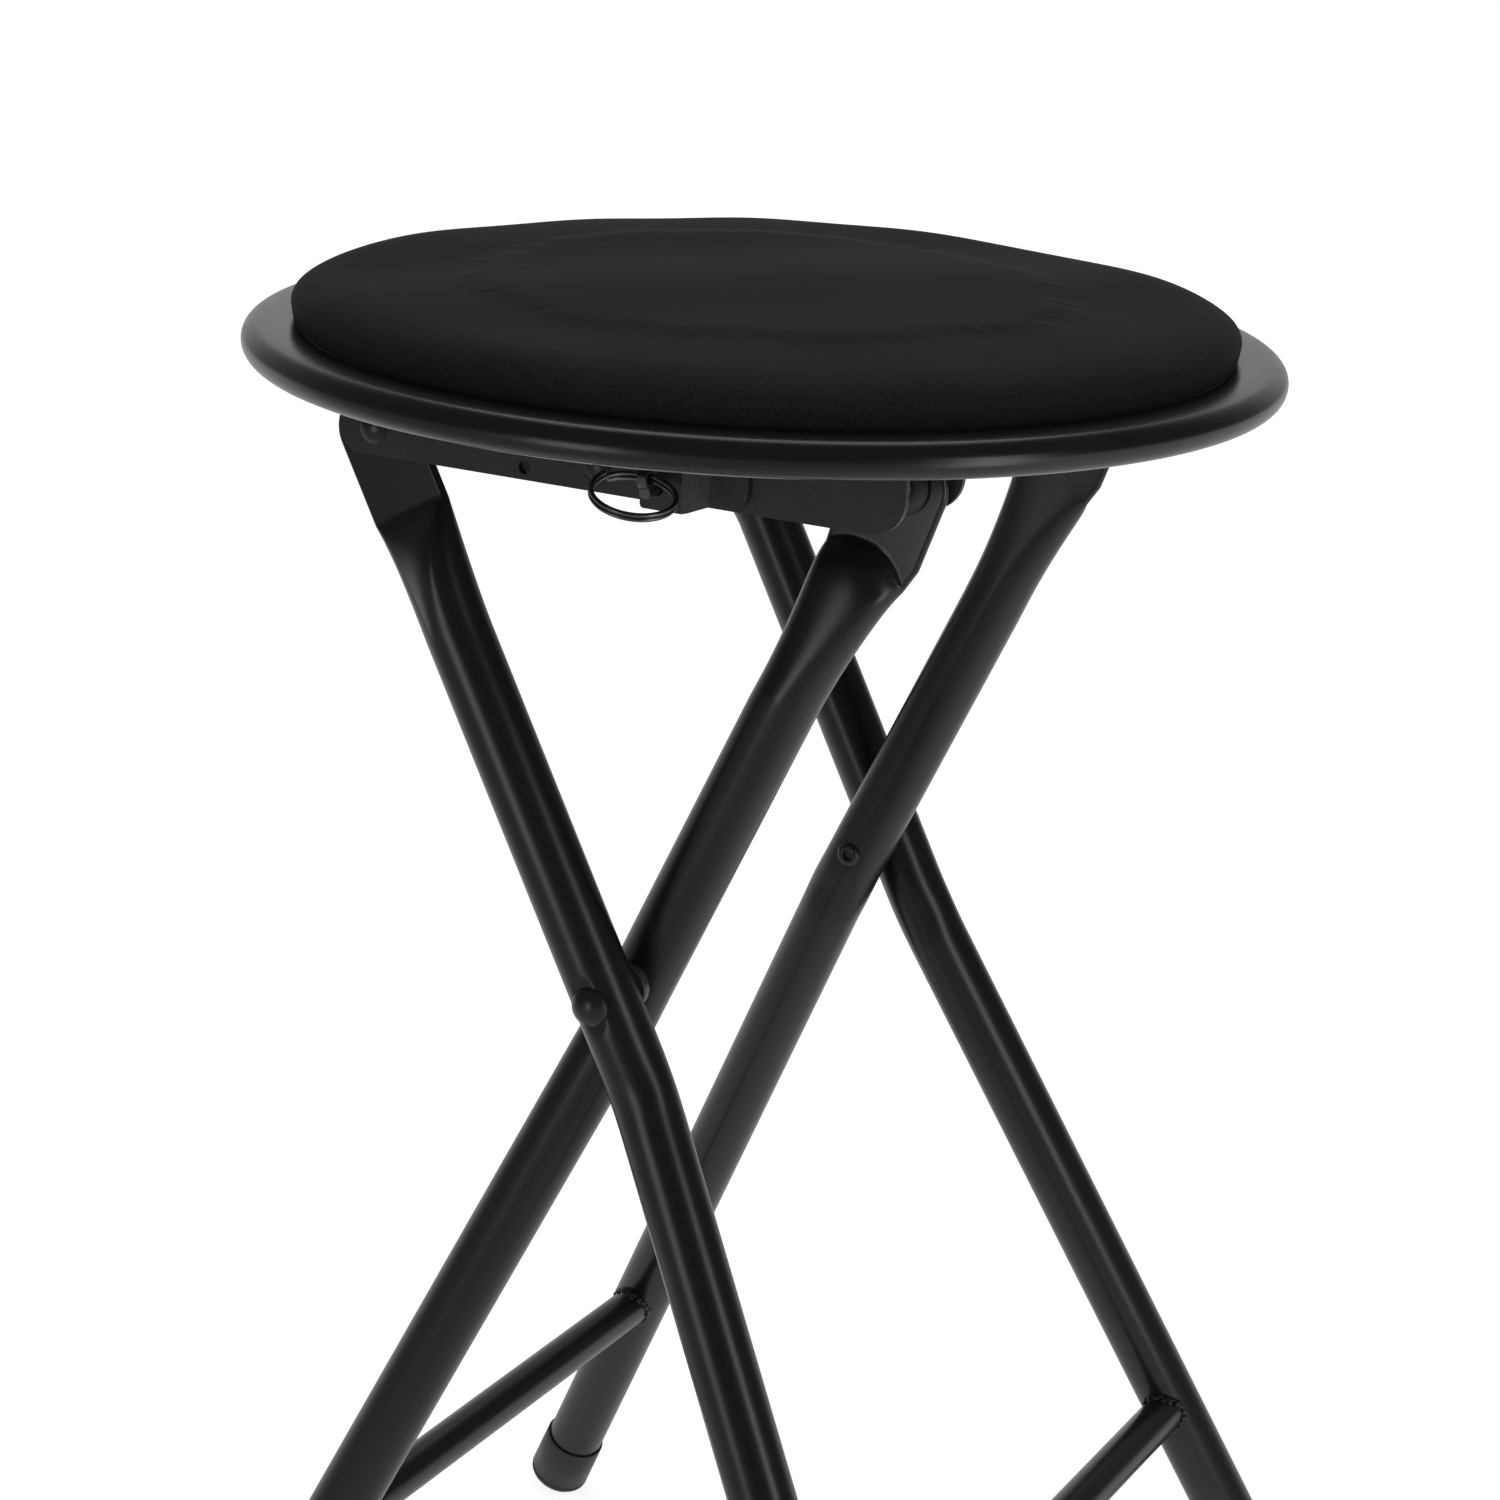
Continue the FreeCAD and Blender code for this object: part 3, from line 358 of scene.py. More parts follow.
def coating(name, colour, spread, rough, rough_spread, grain, grain_height, specular=0.5,
            wave=0.0, wave_height=0.0, dust=0.0):
    """Paint on metal: a colour that drifts a little, a roughness that drifts with broad noise,
    fine grain of the given pitch and slow waves in the surface, and a trace of dust."""
    material = bpy.data.materials.new(name)
    node, join = links(material)
    place = node("ShaderNodeTexCoord")
    shade = node("ShaderNodeBsdfPrincipled")
    shade.inputs["Specular IOR Level"].default_value = specular
    broad = node("ShaderNodeTexNoise")
    broad.inputs["Scale"].default_value = 34
    broad.inputs["Detail"].default_value = 5
    join(place.outputs["Object"], broad.inputs["Vector"])
    tone = node("ShaderNodeMapRange")
    tone.inputs["From Min"].default_value = 0.3
    tone.inputs["From Max"].default_value = 0.7
    join(broad.outputs["Fac"], tone.inputs["Value"])
    mix = node("ShaderNodeMix", data_type="RGBA")
    mix.inputs["A"].default_value = (*[c * (1 - spread) for c in colour], 1)
    mix.inputs["B"].default_value = (*[c * (1 + spread) + dust for c in colour], 1)
    join(tone.outputs[0], mix.inputs["Factor"])
    join(mix.outputs["Result"], shade.inputs["Base Color"])
    smear = node("ShaderNodeTexNoise")
    smear.inputs["Scale"].default_value = 95
    smear.inputs["Detail"].default_value = 6
    smear.inputs["Roughness"].default_value = 0.65
    join(place.outputs["Object"], smear.inputs["Vector"])
    dull = node("ShaderNodeMapRange")
    dull.inputs["From Min"].default_value = 0.35
    dull.inputs["From Max"].default_value = 0.65
    dull.inputs["To Min"].default_value = rough - rough_spread
    dull.inputs["To Max"].default_value = rough + rough_spread
    join(smear.outputs["Fac"], dull.inputs["Value"])
    join(dull.outputs[0], shade.inputs["Roughness"])
    pitch = node("ShaderNodeTexNoise")
    pitch.inputs["Scale"].default_value = 1 / grain
    pitch.inputs["Detail"].default_value = 3
    join(place.outputs["Object"], pitch.inputs["Vector"])
    bump = node("ShaderNodeBump")
    bump.inputs["Distance"].default_value = grain_height
    join(pitch.outputs["Fac"], bump.inputs["Height"])
    if wave_height:
        slow = node("ShaderNodeTexNoise")
        slow.inputs["Scale"].default_value = 1 / wave
        slow.inputs["Detail"].default_value = 1
        join(place.outputs["Object"], slow.inputs["Vector"])
        swell = node("ShaderNodeBump")
        swell.inputs["Distance"].default_value = wave_height
        join(slow.outputs["Fac"], swell.inputs["Height"])
        join(swell.outputs["Normal"], bump.inputs["Normal"])
    join(bump.outputs["Normal"], shade.inputs["Normal"])
    out = node("ShaderNodeOutputMaterial")
    join(shade.outputs[0], out.inputs["Surface"])
    return material


def dress(thing, material):
    """Gives a piece or node one material on all its faces."""
    thing.data.materials.clear()
    thing.data.materials.append(material)
    return thing


def fit(thing, body, slot, *nodes):
    """Lets a new piece ride on a body and stand for the named nodes. The slot is not used."""
    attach(thing, body)
    if nodes:
        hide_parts(*nodes)
    return thing


frame_paint = coating("frame_paint", (0.0084, 0.0082, 0.0084), 0.10, 0.29, 0.01, 0.5 * mm, 0.003 * mm,
                      wave=16 * mm, wave_height=0.008 * mm)
for word, kind in leg_kinds.items():
    upright = leg_points(kind)
    for end in ("rear", "front"):
        leg = mesh_of("%s_tube_%s" % (word, end), stand(kind, upright, end == "front"), sharp=70)
        dress(leg, frame_paint)
        fit(leg, word + "_frame", "frame_black", "%s_leg_%s" % (word, end))


# Crossbars
# A straight 13 mm tube between the legs of each frame, its ends cut to the round of the legs and
# welded there by hand, with the weld's ripples and spatter left under the paint.
bar = 6.5 * mm
bar_heights = {"inner": 87.5 * mm, "outer": 87.0 * mm}
weld_bead = 0.85 * mm


def leg_axis(kind):
    """A point on the lower straight part of a rear leg's middle line, and its direction."""
    along = np.array([-120 * mm, -180 * mm])
    y, z, slope = middle_line(kind, along)
    ends = stand(kind, np.stack([0 * y, y, z], -1), False)
    way = ends[1] - ends[0]
    return ends[0], way / np.linalg.norm(way)


def bar_meets_leg(kind, middle, angle, radius):
    """Y at which lines along the bar, at an angle round it, meet the leg's round side: the
    nearer root of the distance to the leg's axis being the tube's radius."""
    base, way = leg_axis(kind)
    x = middle[0] + radius * np.cos(angle) - base[0]
    z = middle[1] + radius * np.sin(angle) - base[2]
    dot = x * way[0] + z * way[2]
    a = 1 - way[1] ** 2
    b = -2 * way[1] * dot
    c = x * x + z * z - dot ** 2 - tube ** 2
    return base[1] + (-b - np.sqrt(np.maximum(b * b - 4 * a * c, 0))) / (2 * a)


def bar_centre(word, kind):
    """Where the bar's middle line crosses the stool's middle plane, as (x, z)."""
    base, way = leg_axis(kind)
    height = bar_heights[word]
    return base[0] + way[0] * (height - base[2]) / way[2], height


def crossbar(word, kind):
    """Rings about a line along Y; the end rings follow the legs, and stand 0.4 mm inside them."""
    middle = bar_centre(word, kind)
    angle = np.linspace(0, 2 * math.pi, 64, endpoint=False)
    reach = bar_meets_leg(kind, middle, angle, bar) + 0.4 * mm
    share = np.concatenate([np.linspace(-1, -0.9, 8), np.linspace(-0.9, 0.9, 24)[1:-1],
                            np.linspace(0.9, 1, 8)])[:, None]
    y = share * reach[None, :]
    x = middle[0] + bar * np.cos(angle)[None, :] + 0 * y
    z = middle[1] + bar * np.sin(angle)[None, :] + 0 * y
    return np.stack([x, y, z], -1)


def weld(word, kind, side):
    """Tube of uneven thickness along the line where bar and leg meet; its radius ripples with
    sums of sines round the seam."""
    middle = bar_centre(word, kind)
    seam = np.linspace(0, 2 * math.pi, 180, endpoint=False)
    y = bar_meets_leg(kind, middle, seam, bar + 0.3 * mm)
    centre = np.stack([middle[0] + (bar + 0.1 * mm) * np.cos(seam), y - 0.1 * mm,
                       middle[1] + (bar + 0.1 * mm) * np.sin(seam)], -1)
    way = np.roll(centre, -1, 0) - np.roll(centre, 1, 0)
    way = way / np.linalg.norm(way, axis=1, keepdims=True)
    out = np.stack([np.cos(seam), 0 * seam, np.sin(seam)], -1)
    out = out - (out * way).sum(1, keepdims=True) * way
    out = out / np.linalg.norm(out, axis=1, keepdims=True)
    across = np.cross(way, out)
    size = weld_bead * (1 + 0.16 * np.sin(23 * seam + side) + 0.18 * np.sin(7 * seam + 2 * side)
                        + 0.10 * np.sin(41 * seam))
    ring = np.linspace(0, 2 * math.pi, 20, endpoint=False)[None, :, None]
    lump = 1 + 0.10 * np.sin(3 * ring + 5 * seam[:, None, None])
    points = centre[:, None] + size[:, None, None] * lump * (
        out[:, None] * np.cos(ring) + across[:, None] * np.sin(ring))
    points = np.concatenate([points, points[:1]])
    points[..., 1] *= side
    return mesh_of("%s_weld_%s" % (word, "rear" if side > 0 else "front"), points, ends=False, sharp=60)


def spatter(word, kind, side, seed):
    """Lumps and drops of weld metal by the seam, most on the bar's upper side: small balls."""
    chance = np.random.default_rng(seed)
    middle = bar_centre(word, kind)
    count = 34
    drops = []
    for turn, away, size in zip(chance.normal(1.6, 0.9, count), chance.gamma(1.6, 0.8, count) - 0.4,
                                chance.uniform(0.35, 1.15, count)):
        seam_y = bar_meets_leg(kind, middle, np.array([turn]), bar)[0]
        centre = np.array([middle[0] + bar * math.cos(turn), seam_y - away * mm,
                           middle[1] + bar * math.sin(turn)])
        lat = np.linspace(0.02, math.pi - 0.02, 8)[:, None]
        lon = np.linspace(0, 2 * math.pi, 12, endpoint=False)[None, :]
        ball = np.stack([np.sin(lat) * np.cos(lon), np.sin(lat) * np.sin(lon), np.cos(lat) + 0 * lon], -1)
        ball = centre + size * mm * ball
        ball[..., 1] *= side
        drops.append(mesh_of("drop", ball, sharp=80))
    first = drops[0]
    with bpy.context.temp_override(active_object=first, selected_editable_objects=drops):
        bpy.ops.object.join()
    first.name = "%s_spatter_%s" % (word, "rear" if side > 0 else "front")
    return first


for word, kind in leg_kinds.items():
    rail = mesh_of(word + "_rail", crossbar(word, kind))
    fit(dress(rail, frame_paint), word + "_frame", "frame_black", word + "_crossbar")
    for side, seed in ((1, 3), (-1, 8)):
        fit(dress(weld(word, kind, side), frame_paint), word + "_frame", "frame_black")
        fit(dress(spatter(word, kind, side, seed), frame_paint), word + "_frame", "frame_black")


# Foot caps
# Moulded cups pushed over the tube ends, with a thin open lip, a fine step near the bottom and
# an edge worn flat where it stands on the floor.
cap_length = 20.0 * mm
cap_profile = [(9.5, 20.0), (9.75, 20.25), (10.15, 20.2), (10.3, 19.9), (10.36, 12.0), (10.4, 3.4),
               (10.22, 3.2), (10.22, 2.9), (10.4, 2.7), (10.4, 2.2), (10.25, 1.4), (9.8, 0.7),
               (9.1, 0.18), (8.2, 0.0), (4.0, 0.0), (0.02, 0.0)]


def turned(profile, base, way, steps=96):
    """Rings turned about an axis: each profile pair is a radius and a distance along the way."""
    way = np.array(way, float) / np.linalg.norm(way)
    first = np.cross(way, [0.0, 0.3, 1.0])
    first = first / np.linalg.norm(first)
    second = np.cross(way, first)
    angle = np.linspace(0, 2 * math.pi, steps, endpoint=False)[None, :, None]
    profile = np.array(profile, float)
    radius = profile[:, 0][:, None, None]
    height = profile[:, 1][:, None, None]
    return np.array(base) + way * height + radius * (first * np.cos(angle) + second * np.sin(angle))


def foot_cap(kind):
    """Turned cup at the tube's end; whatever would lie under the floor is pressed flat on it."""
    y, z, slope = middle_line(kind, np.array([leg_end(kind)]))
    out = np.array([0, math.sin(slope[0]), -math.cos(slope[0])])
    tip = np.array([0, y[0], z[0]]) + out * cap_floor
    return turned(np.array(cap_profile) * mm, tip, -out)


def plastic(name, colour, rough, grain, grain_height):
    """Moulded plastic or rubber: the coating's layers with a weaker shine and no waves."""
    return coating(name, colour, 0.15, rough, 0.05, grain, grain_height, specular=0.45)


cap_rubber = plastic("cap_rubber", (0.021, 0.021, 0.022), 0.42, 0.35 * mm, 0.02 * mm)
for word, kind in leg_kinds.items():
    upright = foot_cap(kind)
    for end in ("rear", "front"):
        points = stand(kind, upright, end == "front")
        points[..., 2] = np.maximum(points[..., 2], 0)
        cap = mesh_of("%s_cap_%s" % (word, end), points, sharp=50)
        fit(dress(cap, cap_rubber), word + "_frame", "foot_rubber", "foot_cap_%s_%s" % (word, end))


# Rivets, washers and spacers
# Steel rivets painted with the frames: round heads outside, rolled tubular ends inside, a
# moulded spacer between the crossing tubes and a washer at each inner leg's top.
def arc_profile(centre, radius, start, end, count):
    """Points of a circular arc in a profile, from start to end degrees."""
    turn = np.radians(np.linspace(start, end, count))
    return [(centre[0] + radius * math.cos(t), centre[1] + radius * math.sin(t)) for t in turn]


def head_profile(radius, height, edge=0.35):
    """Rivet head standing on height 0: a short upright edge, then a cap of a sphere."""
    rise = height - edge
    ball = (radius ** 2 + rise ** 2) / (2 * rise)
    half = math.degrees(math.asin(radius / ball))
    return ([(radius - 0.25, -0.9), (radius, -0.6)]
            + arc_profile((0, edge + rise - ball), ball, 90 - half, 89.6, 18))


def rolled_profile(radius, height, bore):
    """Rolled tubular end: a low ring whose edge is round and whose middle dips to the bore."""
    return ([(radius, 0)] + arc_profile((radius - height, 0), height, 0, 90, 7)
            + arc_profile((bore + 0.7, height - 0.7), 0.7, 90, 180, 6)
            + [(bore, height - 3.0), (0.02, height - 3.0)])


def ring_profile(inner, outer, height, edge=0.3):
    """Washer: a flat ring with rounded outer and inner edges."""
    return ([(inner, 0), (outer - edge, 0)] + arc_profile((outer - edge, edge), edge, -90, 0, 4)
            + arc_profile((outer - edge, height - edge), edge, 0, 90, 4)
            + arc_profile((inner + edge, height - edge), edge, 90, 180, 4) + [(inner, 0)])


def on_side(name, profile, base, outward, side, sharp=40, ends=True):
    """A turned piece on the rear (side 1) or front (side -1), its axis along Y."""
    base = np.array(base, float) * mm
    points = turned(np.array(profile) * mm, base, (0, outward, 0), 72)
    points[..., 1] *= side
    return mesh_of(name, points, sharp=sharp, ends=ends)


def joined(name, things):
    """Several meshes made one."""
    with bpy.context.temp_override(active_object=things[0], selected_editable_objects=things):
        bpy.ops.object.join()
    things[0].name = name
    return things[0]


rivet_paint = coating("rivet_paint", (0.011, 0.011, 0.012), 0.15, 0.33, 0.04, 0.4 * mm, 0.01 * mm)
spacer_plastic = plastic("spacer_plastic", (0.030, 0.030, 0.031), 0.24, 0.3 * mm, 0.01 * mm)
top_z = 430.0
outer_top_x = -77.044
inner_top_x = 72.011
brace_x = -4.116
for end, side in (("rear", 1), ("front", -1)):
    cross_x, cross_z = crossing[0] / mm, crossing[2] / mm
    rivet = joined("cross_rivet_piece_" + end, [
        on_side("head", head_profile(5.6, 3.1), (cross_x, 101.4, cross_z), 1, side),
        on_side("shank", [(3.0, 0), (3.0, 40.0)], (cross_x, 60.9, cross_z), 1, side),
        on_side("roll", rolled_profile(3.7, 1.4, 1.5), (cross_x, 60.7, cross_z), -1, side)])
    fit(dress(rivet, rivet_paint), "inner_frame", "rivet_black", "cross_rivet_" + end)
    spacer = on_side("cross_spacer_piece_" + end, ring_profile(3.0, 7.0, 3.4, 0.6), (cross_x, 79.2, cross_z),
                     1, side, ends=False)
    fit(dress(spacer, spacer_plastic), "inner_frame", "spacer_plastic", "cross_spacer_" + end)
    pivot = joined("seat_pivot_piece_" + end, [
        on_side("head", head_profile(4.4, 2.0), (inner_top_x, 58.7, top_z), -1, side),
        on_side("shank", [(2.5, 0), (2.5, 7.5)], (inner_top_x, 58.7, top_z), 1, side),
        on_side("roll", rolled_profile(3.3, 1.5, 1.6), (inner_top_x, 66.2, top_z), 1, side)])
    fit(dress(pivot, rivet_paint), "inner_frame", "rivet_black", "seat_pivot_rivet_" + end)
    washer = on_side("seat_pivot_washer_piece_" + end, ring_profile(2.5, 7.7, 1.5),
                     (inner_top_x, 64.7, top_z), 1, side, ends=False)
    fit(dress(washer, rivet_paint), "inner_frame", "rivet_black", "seat_pivot_washer_" + end)
    brace = joined("brace_pivot_piece_" + end, [
        on_side("head", head_profile(4.4, 2.0), (brace_x, 96.3, top_z), 1, side),
        on_side("shank", [(2.5, 0), (2.5, 4.5)], (brace_x, 91.7, top_z), 1, side),
        on_side("foot", rolled_profile(4.0, 1.5, 1.2), (brace_x, 91.7, top_z), -1, side)])
    fit(dress(brace, rivet_paint), "seat", "rivet_black", "brace_pivot_rivet_" + end)
    head = on_side("link_head_piece_" + end, [(2.5, -2.0), (2.5, -0.9)] + head_profile(4.4, 2.0),
                   (outer_top_x, 94.0, top_z), 1, side)
    fit(dress(head, rivet_paint), "brace_links", "rivet_black", "link_rivet_head_" + end)
    tail = joined("link_tail_piece_" + end, [
        on_side("shank", [(2.5, 0), (2.5, 3.3)], (outer_top_x, 88.3, top_z), 1, side),
        on_side("roll", rolled_profile(4.0, 1.5, 1.2), (outer_top_x, 88.3, top_z), -1, side)])
    fit(dress(tail, rivet_paint), "outer_frame", "rivet_black", "link_rivet_tail_" + end)


# Seat brackets, links and latch bracket
# Pressed steel sheet, 2 mm thick, with the corners broken by the tumbling and a fine textured
# powder coat of dark grey; the links are plain strips with a notch for the latch pin.
def softened(node, name, width, segments=2):
    """Copy of a node's mesh, merged, its flat faces joined and its sharp edges rounded off."""
    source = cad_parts[node]
    thing = bpy.data.objects.new(name, source.data.copy())
    bpy.context.scene.collection.objects.link(thing)
    work = bmesh.new()
    work.from_mesh(thing.data)
    bmesh.ops.remove_doubles(work, verts=work.verts, dist=1e-6)
    bmesh.ops.dissolve_limit(work, angle_limit=math.radians(1.0), verts=work.verts, edges=work.edges)
    work.to_mesh(thing.data)
    work.free()
    rounding = thing.modifiers.new("rounding", "BEVEL")
    rounding.width = width
    rounding.segments = segments
    rounding.limit_method = "ANGLE"
    rounding.angle_limit = math.radians(40)
    rounding.harden_normals = False
    thing.data.shade_smooth()
    thing.data.set_sharp_from_angle(angle=math.radians(32))
    return thing


bracket_paint = coating("bracket_paint", (0.019, 0.0184, 0.0178), 0.14, 0.50, 0.06, 0.62 * mm, 0.26 * mm,
                        specular=0.5, dust=0.001)
detent = (-27.991, 92.0, 426.0)
for end in ("rear", "front"):
    plate = softened("seat_bracket_" + end, "seat_bracket_piece_" + end, 0.35 * mm)
    fit(dress(plate, bracket_paint), "seat", "bracket_grey", "seat_bracket_" + end)
    strip = joined("brace_link_piece_" + end, [
        softened("brace_link_" + end, "strip", 0.25 * mm),
        on_side("detent_floor", [(0.02, 0), (1.84, 0), (1.84, 0.25), (0.02, 0.25)], detent, 1,
                1 if end == "rear" else -1)])
    fit(dress(strip, bracket_paint), "brace_links", "bracket_grey", "brace_link_" + end)
holder = softened("latch_bracket", "latch_bracket_piece", 0.3 * mm)
fit(dress(holder, bracket_paint), "seat", "bracket_grey", "latch_bracket")


# Screws
# Zinc plated pan-head screws that hold the brackets to the board from below.
def metal(name, colour, rough, scratch):
    """Bare or plated metal: roughness and bump from noise drawn out into fine scratches."""
    material = bpy.data.materials.new(name)
    node, join = links(material)
    place = node("ShaderNodeTexCoord")
    stretch = node("ShaderNodeMapping")
    stretch.inputs["Scale"].default_value = (1, 1, 9)
    join(place.outputs["Object"], stretch.inputs["Vector"])
    noise = node("ShaderNodeTexNoise")
    noise.inputs["Scale"].default_value = scratch
    noise.inputs["Detail"].default_value = 5
    join(stretch.outputs[0], noise.inputs["Vector"])
    dull = node("ShaderNodeMapRange")
    dull.inputs["To Min"].default_value = rough - 0.08
    dull.inputs["To Max"].default_value = rough + 0.12
    join(noise.outputs["Fac"], dull.inputs["Value"])
    tone = node("ShaderNodeMix", data_type="RGBA")
    tone.inputs["A"].default_value = (*[c * 0.8 for c in colour], 1)
    tone.inputs["B"].default_value = (*[c * 1.2 for c in colour], 1)
    join(noise.outputs["Fac"], tone.inputs["Factor"])
    bump = node("ShaderNodeBump")
    bump.inputs["Distance"].default_value = 0.01 * mm
    join(noise.outputs["Fac"], bump.inputs["Height"])
    shade = node("ShaderNodeBsdfPrincipled")
    shade.inputs["Metallic"].default_value = 1
    join(tone.outputs["Result"], shade.inputs["Base Color"])
    join(dull.outputs[0], shade.inputs["Roughness"])
    join(bump.outputs["Normal"], shade.inputs["Normal"])
    out = node("ShaderNodeOutputMaterial")
    join(shade.outputs[0], out.inputs["Surface"])
    return material


screw_zinc = metal("screw_zinc", (0.36, 0.36, 0.37), 0.35, 700)
screws = softened("bracket_screws", "bracket_screw_pieces", 0.2 * mm)
fit(dress(screws, screw_zinc), "seat", "screw_steel", "bracket_screws")


# Latch pin, spring and pull ring
# A dark plated pin slides in the latch bracket against a small spring; a split ring of hard
# wire, wound nearly twice, hangs in the pin's eye.
pin_metal = metal("pin_metal", (0.11, 0.11, 0.11), 0.36, 900)
ring_metal = metal("ring_metal", (0.15, 0.145, 0.14), 0.30, 1100)
pin = softened("latch_pin", "latch_pin_piece", 0.18 * mm)
fit(dress(pin, pin_metal), "latch_pin", "pin_steel", "latch_pin")
pin_axis = np.array([20.084, 0, 429.4]) * mm
eye = np.array([20.084, -112.2, 433.5]) * mm


def coiled(radius, pitch, turns, wire, start, steps):
    """Wire wound about Z: rings of the wire's radius carried along a helix, its ends closed."""
    turn = np.linspace(0, 2 * math.pi * turns, steps)[:, None]
    angle = turn + 2 * math.pi * start
    centre = np.concatenate([radius * np.cos(angle), radius * np.sin(angle),
                             pitch * turn / (2 * math.pi)], 1)
    way = np.concatenate([-radius * np.sin(angle), radius * np.cos(angle),
                          0 * angle + pitch / (2 * math.pi)], 1)
    way = way / np.linalg.norm(way, axis=1, keepdims=True)
    out = np.concatenate([np.cos(angle), np.sin(angle), 0 * angle], 1)
    across = np.cross(way, out)
    ring = np.linspace(0, 2 * math.pi, 16, endpoint=False)[None, :, None]
    return centre[:, None] + wire * (out[:, None] * np.cos(ring) + across[:, None] * np.sin(ring))


def turned_about(points, axis, degrees):
    """Points turned about X, Y or Z through the origin."""
    c, s = math.cos(math.radians(degrees)), math.sin(math.radians(degrees))
    x, y, z = points[..., 0], points[..., 1], points[..., 2]
    if axis == "x":
        return np.stack([x, y * c - z * s, y * s + z * c], -1)
    if axis == "z":
        return np.stack([x * c + y * s, -x * s + y * c, z], -1)
    return np.stack([x * c + z * s, y, -x * s + z * c], -1)


ring_radius, ring_wire, ring_pitch, ring_turns = 11.2 * mm, 0.65 * mm, 1.3 * mm, 1.98
hoop = coiled(ring_radius, ring_pitch, ring_turns, ring_wire, 0.60, 240)
hoop = hoop + np.array([0, ring_radius, -ring_pitch * 0.65])
hoop = turned_about(turned_about(turned_about(hoop, "y", 9.5), "x", -15.0), "z", 11.0)
hoop = hoop * np.array([1, -1, 1]) + eye
fit(dress(mesh_of("pull_ring_piece", hoop), ring_metal), "pull_ring", "ring_steel", "pull_ring")

spring_low, spring_high = 100.1 * mm, 104.5 * mm
coil = coiled(2.2 * mm, (spring_high - spring_low) / 4, 4, 0.3 * mm, 0, 160)
coil = np.stack([coil[..., 0], -coil[..., 2] - spring_low, coil[..., 1]], -1) + pin_axis
fit(dress(mesh_of("latch_spring_piece", coil), pin_metal), "seat", "pin_steel", "latch_spring")


# Seat rim
# One steel ring pressed from sheet: a ledge under the board, a nearly level top round the pad,
# and a rolled outer edge whose lip turns in below; enamelled black with more gloss than the legs.
seat_x = -4.32
rim_radius, rim_round, rim_sheet = 150.0, 5.1, 1.4
rim_bottom, rim_inner = 442.7, 452.9
pad_radius, pad_waist = 136.0, 1.5
board_radius, board_z = 132.4, 456.7


def rim_profile():
    """Closed outline of the ring's section, as radius and height, with arcs for the rolled edge."""
    crest = (rim_radius - rim_round, rim_bottom + rim_round)
    hollow = rim_round - rim_sheet
    foot = (pad_radius - pad_waist, rim_inner)
    top = arc_profile(crest, rim_round, 78, 78, 1)[0]
    mid = ((foot[0] + top[0]) / 2, (foot[1] + top[1]) / 2 + 0.3)
    share = np.linspace(0, 1, 12)
    bow = [((1 - s) ** 2 * foot[0] + 2 * s * (1 - s) * mid[0] + s * s * top[0],
            (1 - s) ** 2 * foot[1] + 2 * s * (1 - s) * (mid[1] + 0.3) + s * s * top[1]) for s in share]
    heel = (board_radius + 0.4, board_z)
    under = [(r - 0.3, z - rim_sheet) for r, z in bow[::-1]]
    return ([(board_radius - 2.8, board_z), heel] + bow + arc_profile(crest, rim_round, 74, -98, 60)
            + arc_profile((crest[0] - 0.7, crest[1] - 4.4), 0.7, -100, -260, 9)
            + arc_profile(crest, hollow, -100, 78, 30) + under
            + [(heel[0] - 0.4, heel[1] - rim_sheet), (board_radius - 2.8, board_z - rim_sheet),
               (board_radius - 2.8, board_z)])


rim_paint = coating("rim_paint", (0.0080, 0.0080, 0.0084), 0.10, 0.27, 0.01, 0.45 * mm, 0.001 * mm,
                    wave=14 * mm, wave_height=0.008 * mm)
rim_points = turned(np.array(rim_profile()) * mm, (seat_x * mm, 0, 0), (0, 0, 1), 400)
rim = mesh_of("seat_rim_piece", rim_points, ends=False, sharp=50)
fit(dress(rim, rim_paint), "seat", "rim_gloss", "seat_rim")


# Board
# Round board of pressed fibre under the pad, bare on its underside, where it shows from below.
def fibreboard():
    """Fine brown fibres: two stretched noises over a warm brown, with a dull surface."""
    material = bpy.data.materials.new("fibreboard")
    node, join = links(material)
    place = node("ShaderNodeTexCoord")
    fibre = node("ShaderNodeTexNoise")
    fibre.inputs["Scale"].default_value = 420
    fibre.inputs["Detail"].default_value = 8
    fibre.inputs["Roughness"].default_value = 0.7
    join(place.outputs["Object"], fibre.inputs["Vector"])
    patch = node("ShaderNodeTexNoise")
    patch.inputs["Scale"].default_value = 22
    patch.inputs["Detail"].default_value = 4
    join(place.outputs["Object"], patch.inputs["Vector"])
    both = node("ShaderNodeMath", operation="MULTIPLY")
    join(fibre.outputs["Fac"], both.inputs[0])
    join(patch.outputs["Fac"], both.inputs[1])
    ramp = node("ShaderNodeValToRGB")
    ramp.color_ramp.elements[0].position = 0.12
    ramp.color_ramp.elements[0].color = (0.145, 0.092, 0.052, 1)
    ramp.color_ramp.elements[1].position = 0.42
    ramp.color_ramp.elements[1].color = (0.34, 0.235, 0.145, 1)
    join(both.outputs[0], ramp.inputs["Fac"])
    bump = node("ShaderNodeBump")
    bump.inputs["Distance"].default_value = 0.05 * mm
    join(fibre.outputs["Fac"], bump.inputs["Height"])
    shade = node("ShaderNodeBsdfPrincipled")
    shade.inputs["Roughness"].default_value = 0.78
    shade.inputs["Specular IOR Level"].default_value = 0.3
    join(ramp.outputs["Color"], shade.inputs["Base Color"])
    join(bump.outputs["Normal"], shade.inputs["Normal"])
    out = node("ShaderNodeOutputMaterial")
    join(shade.outputs[0], out.inputs["Surface"])
    return material


dress(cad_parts["seat_board"], fibreboard())


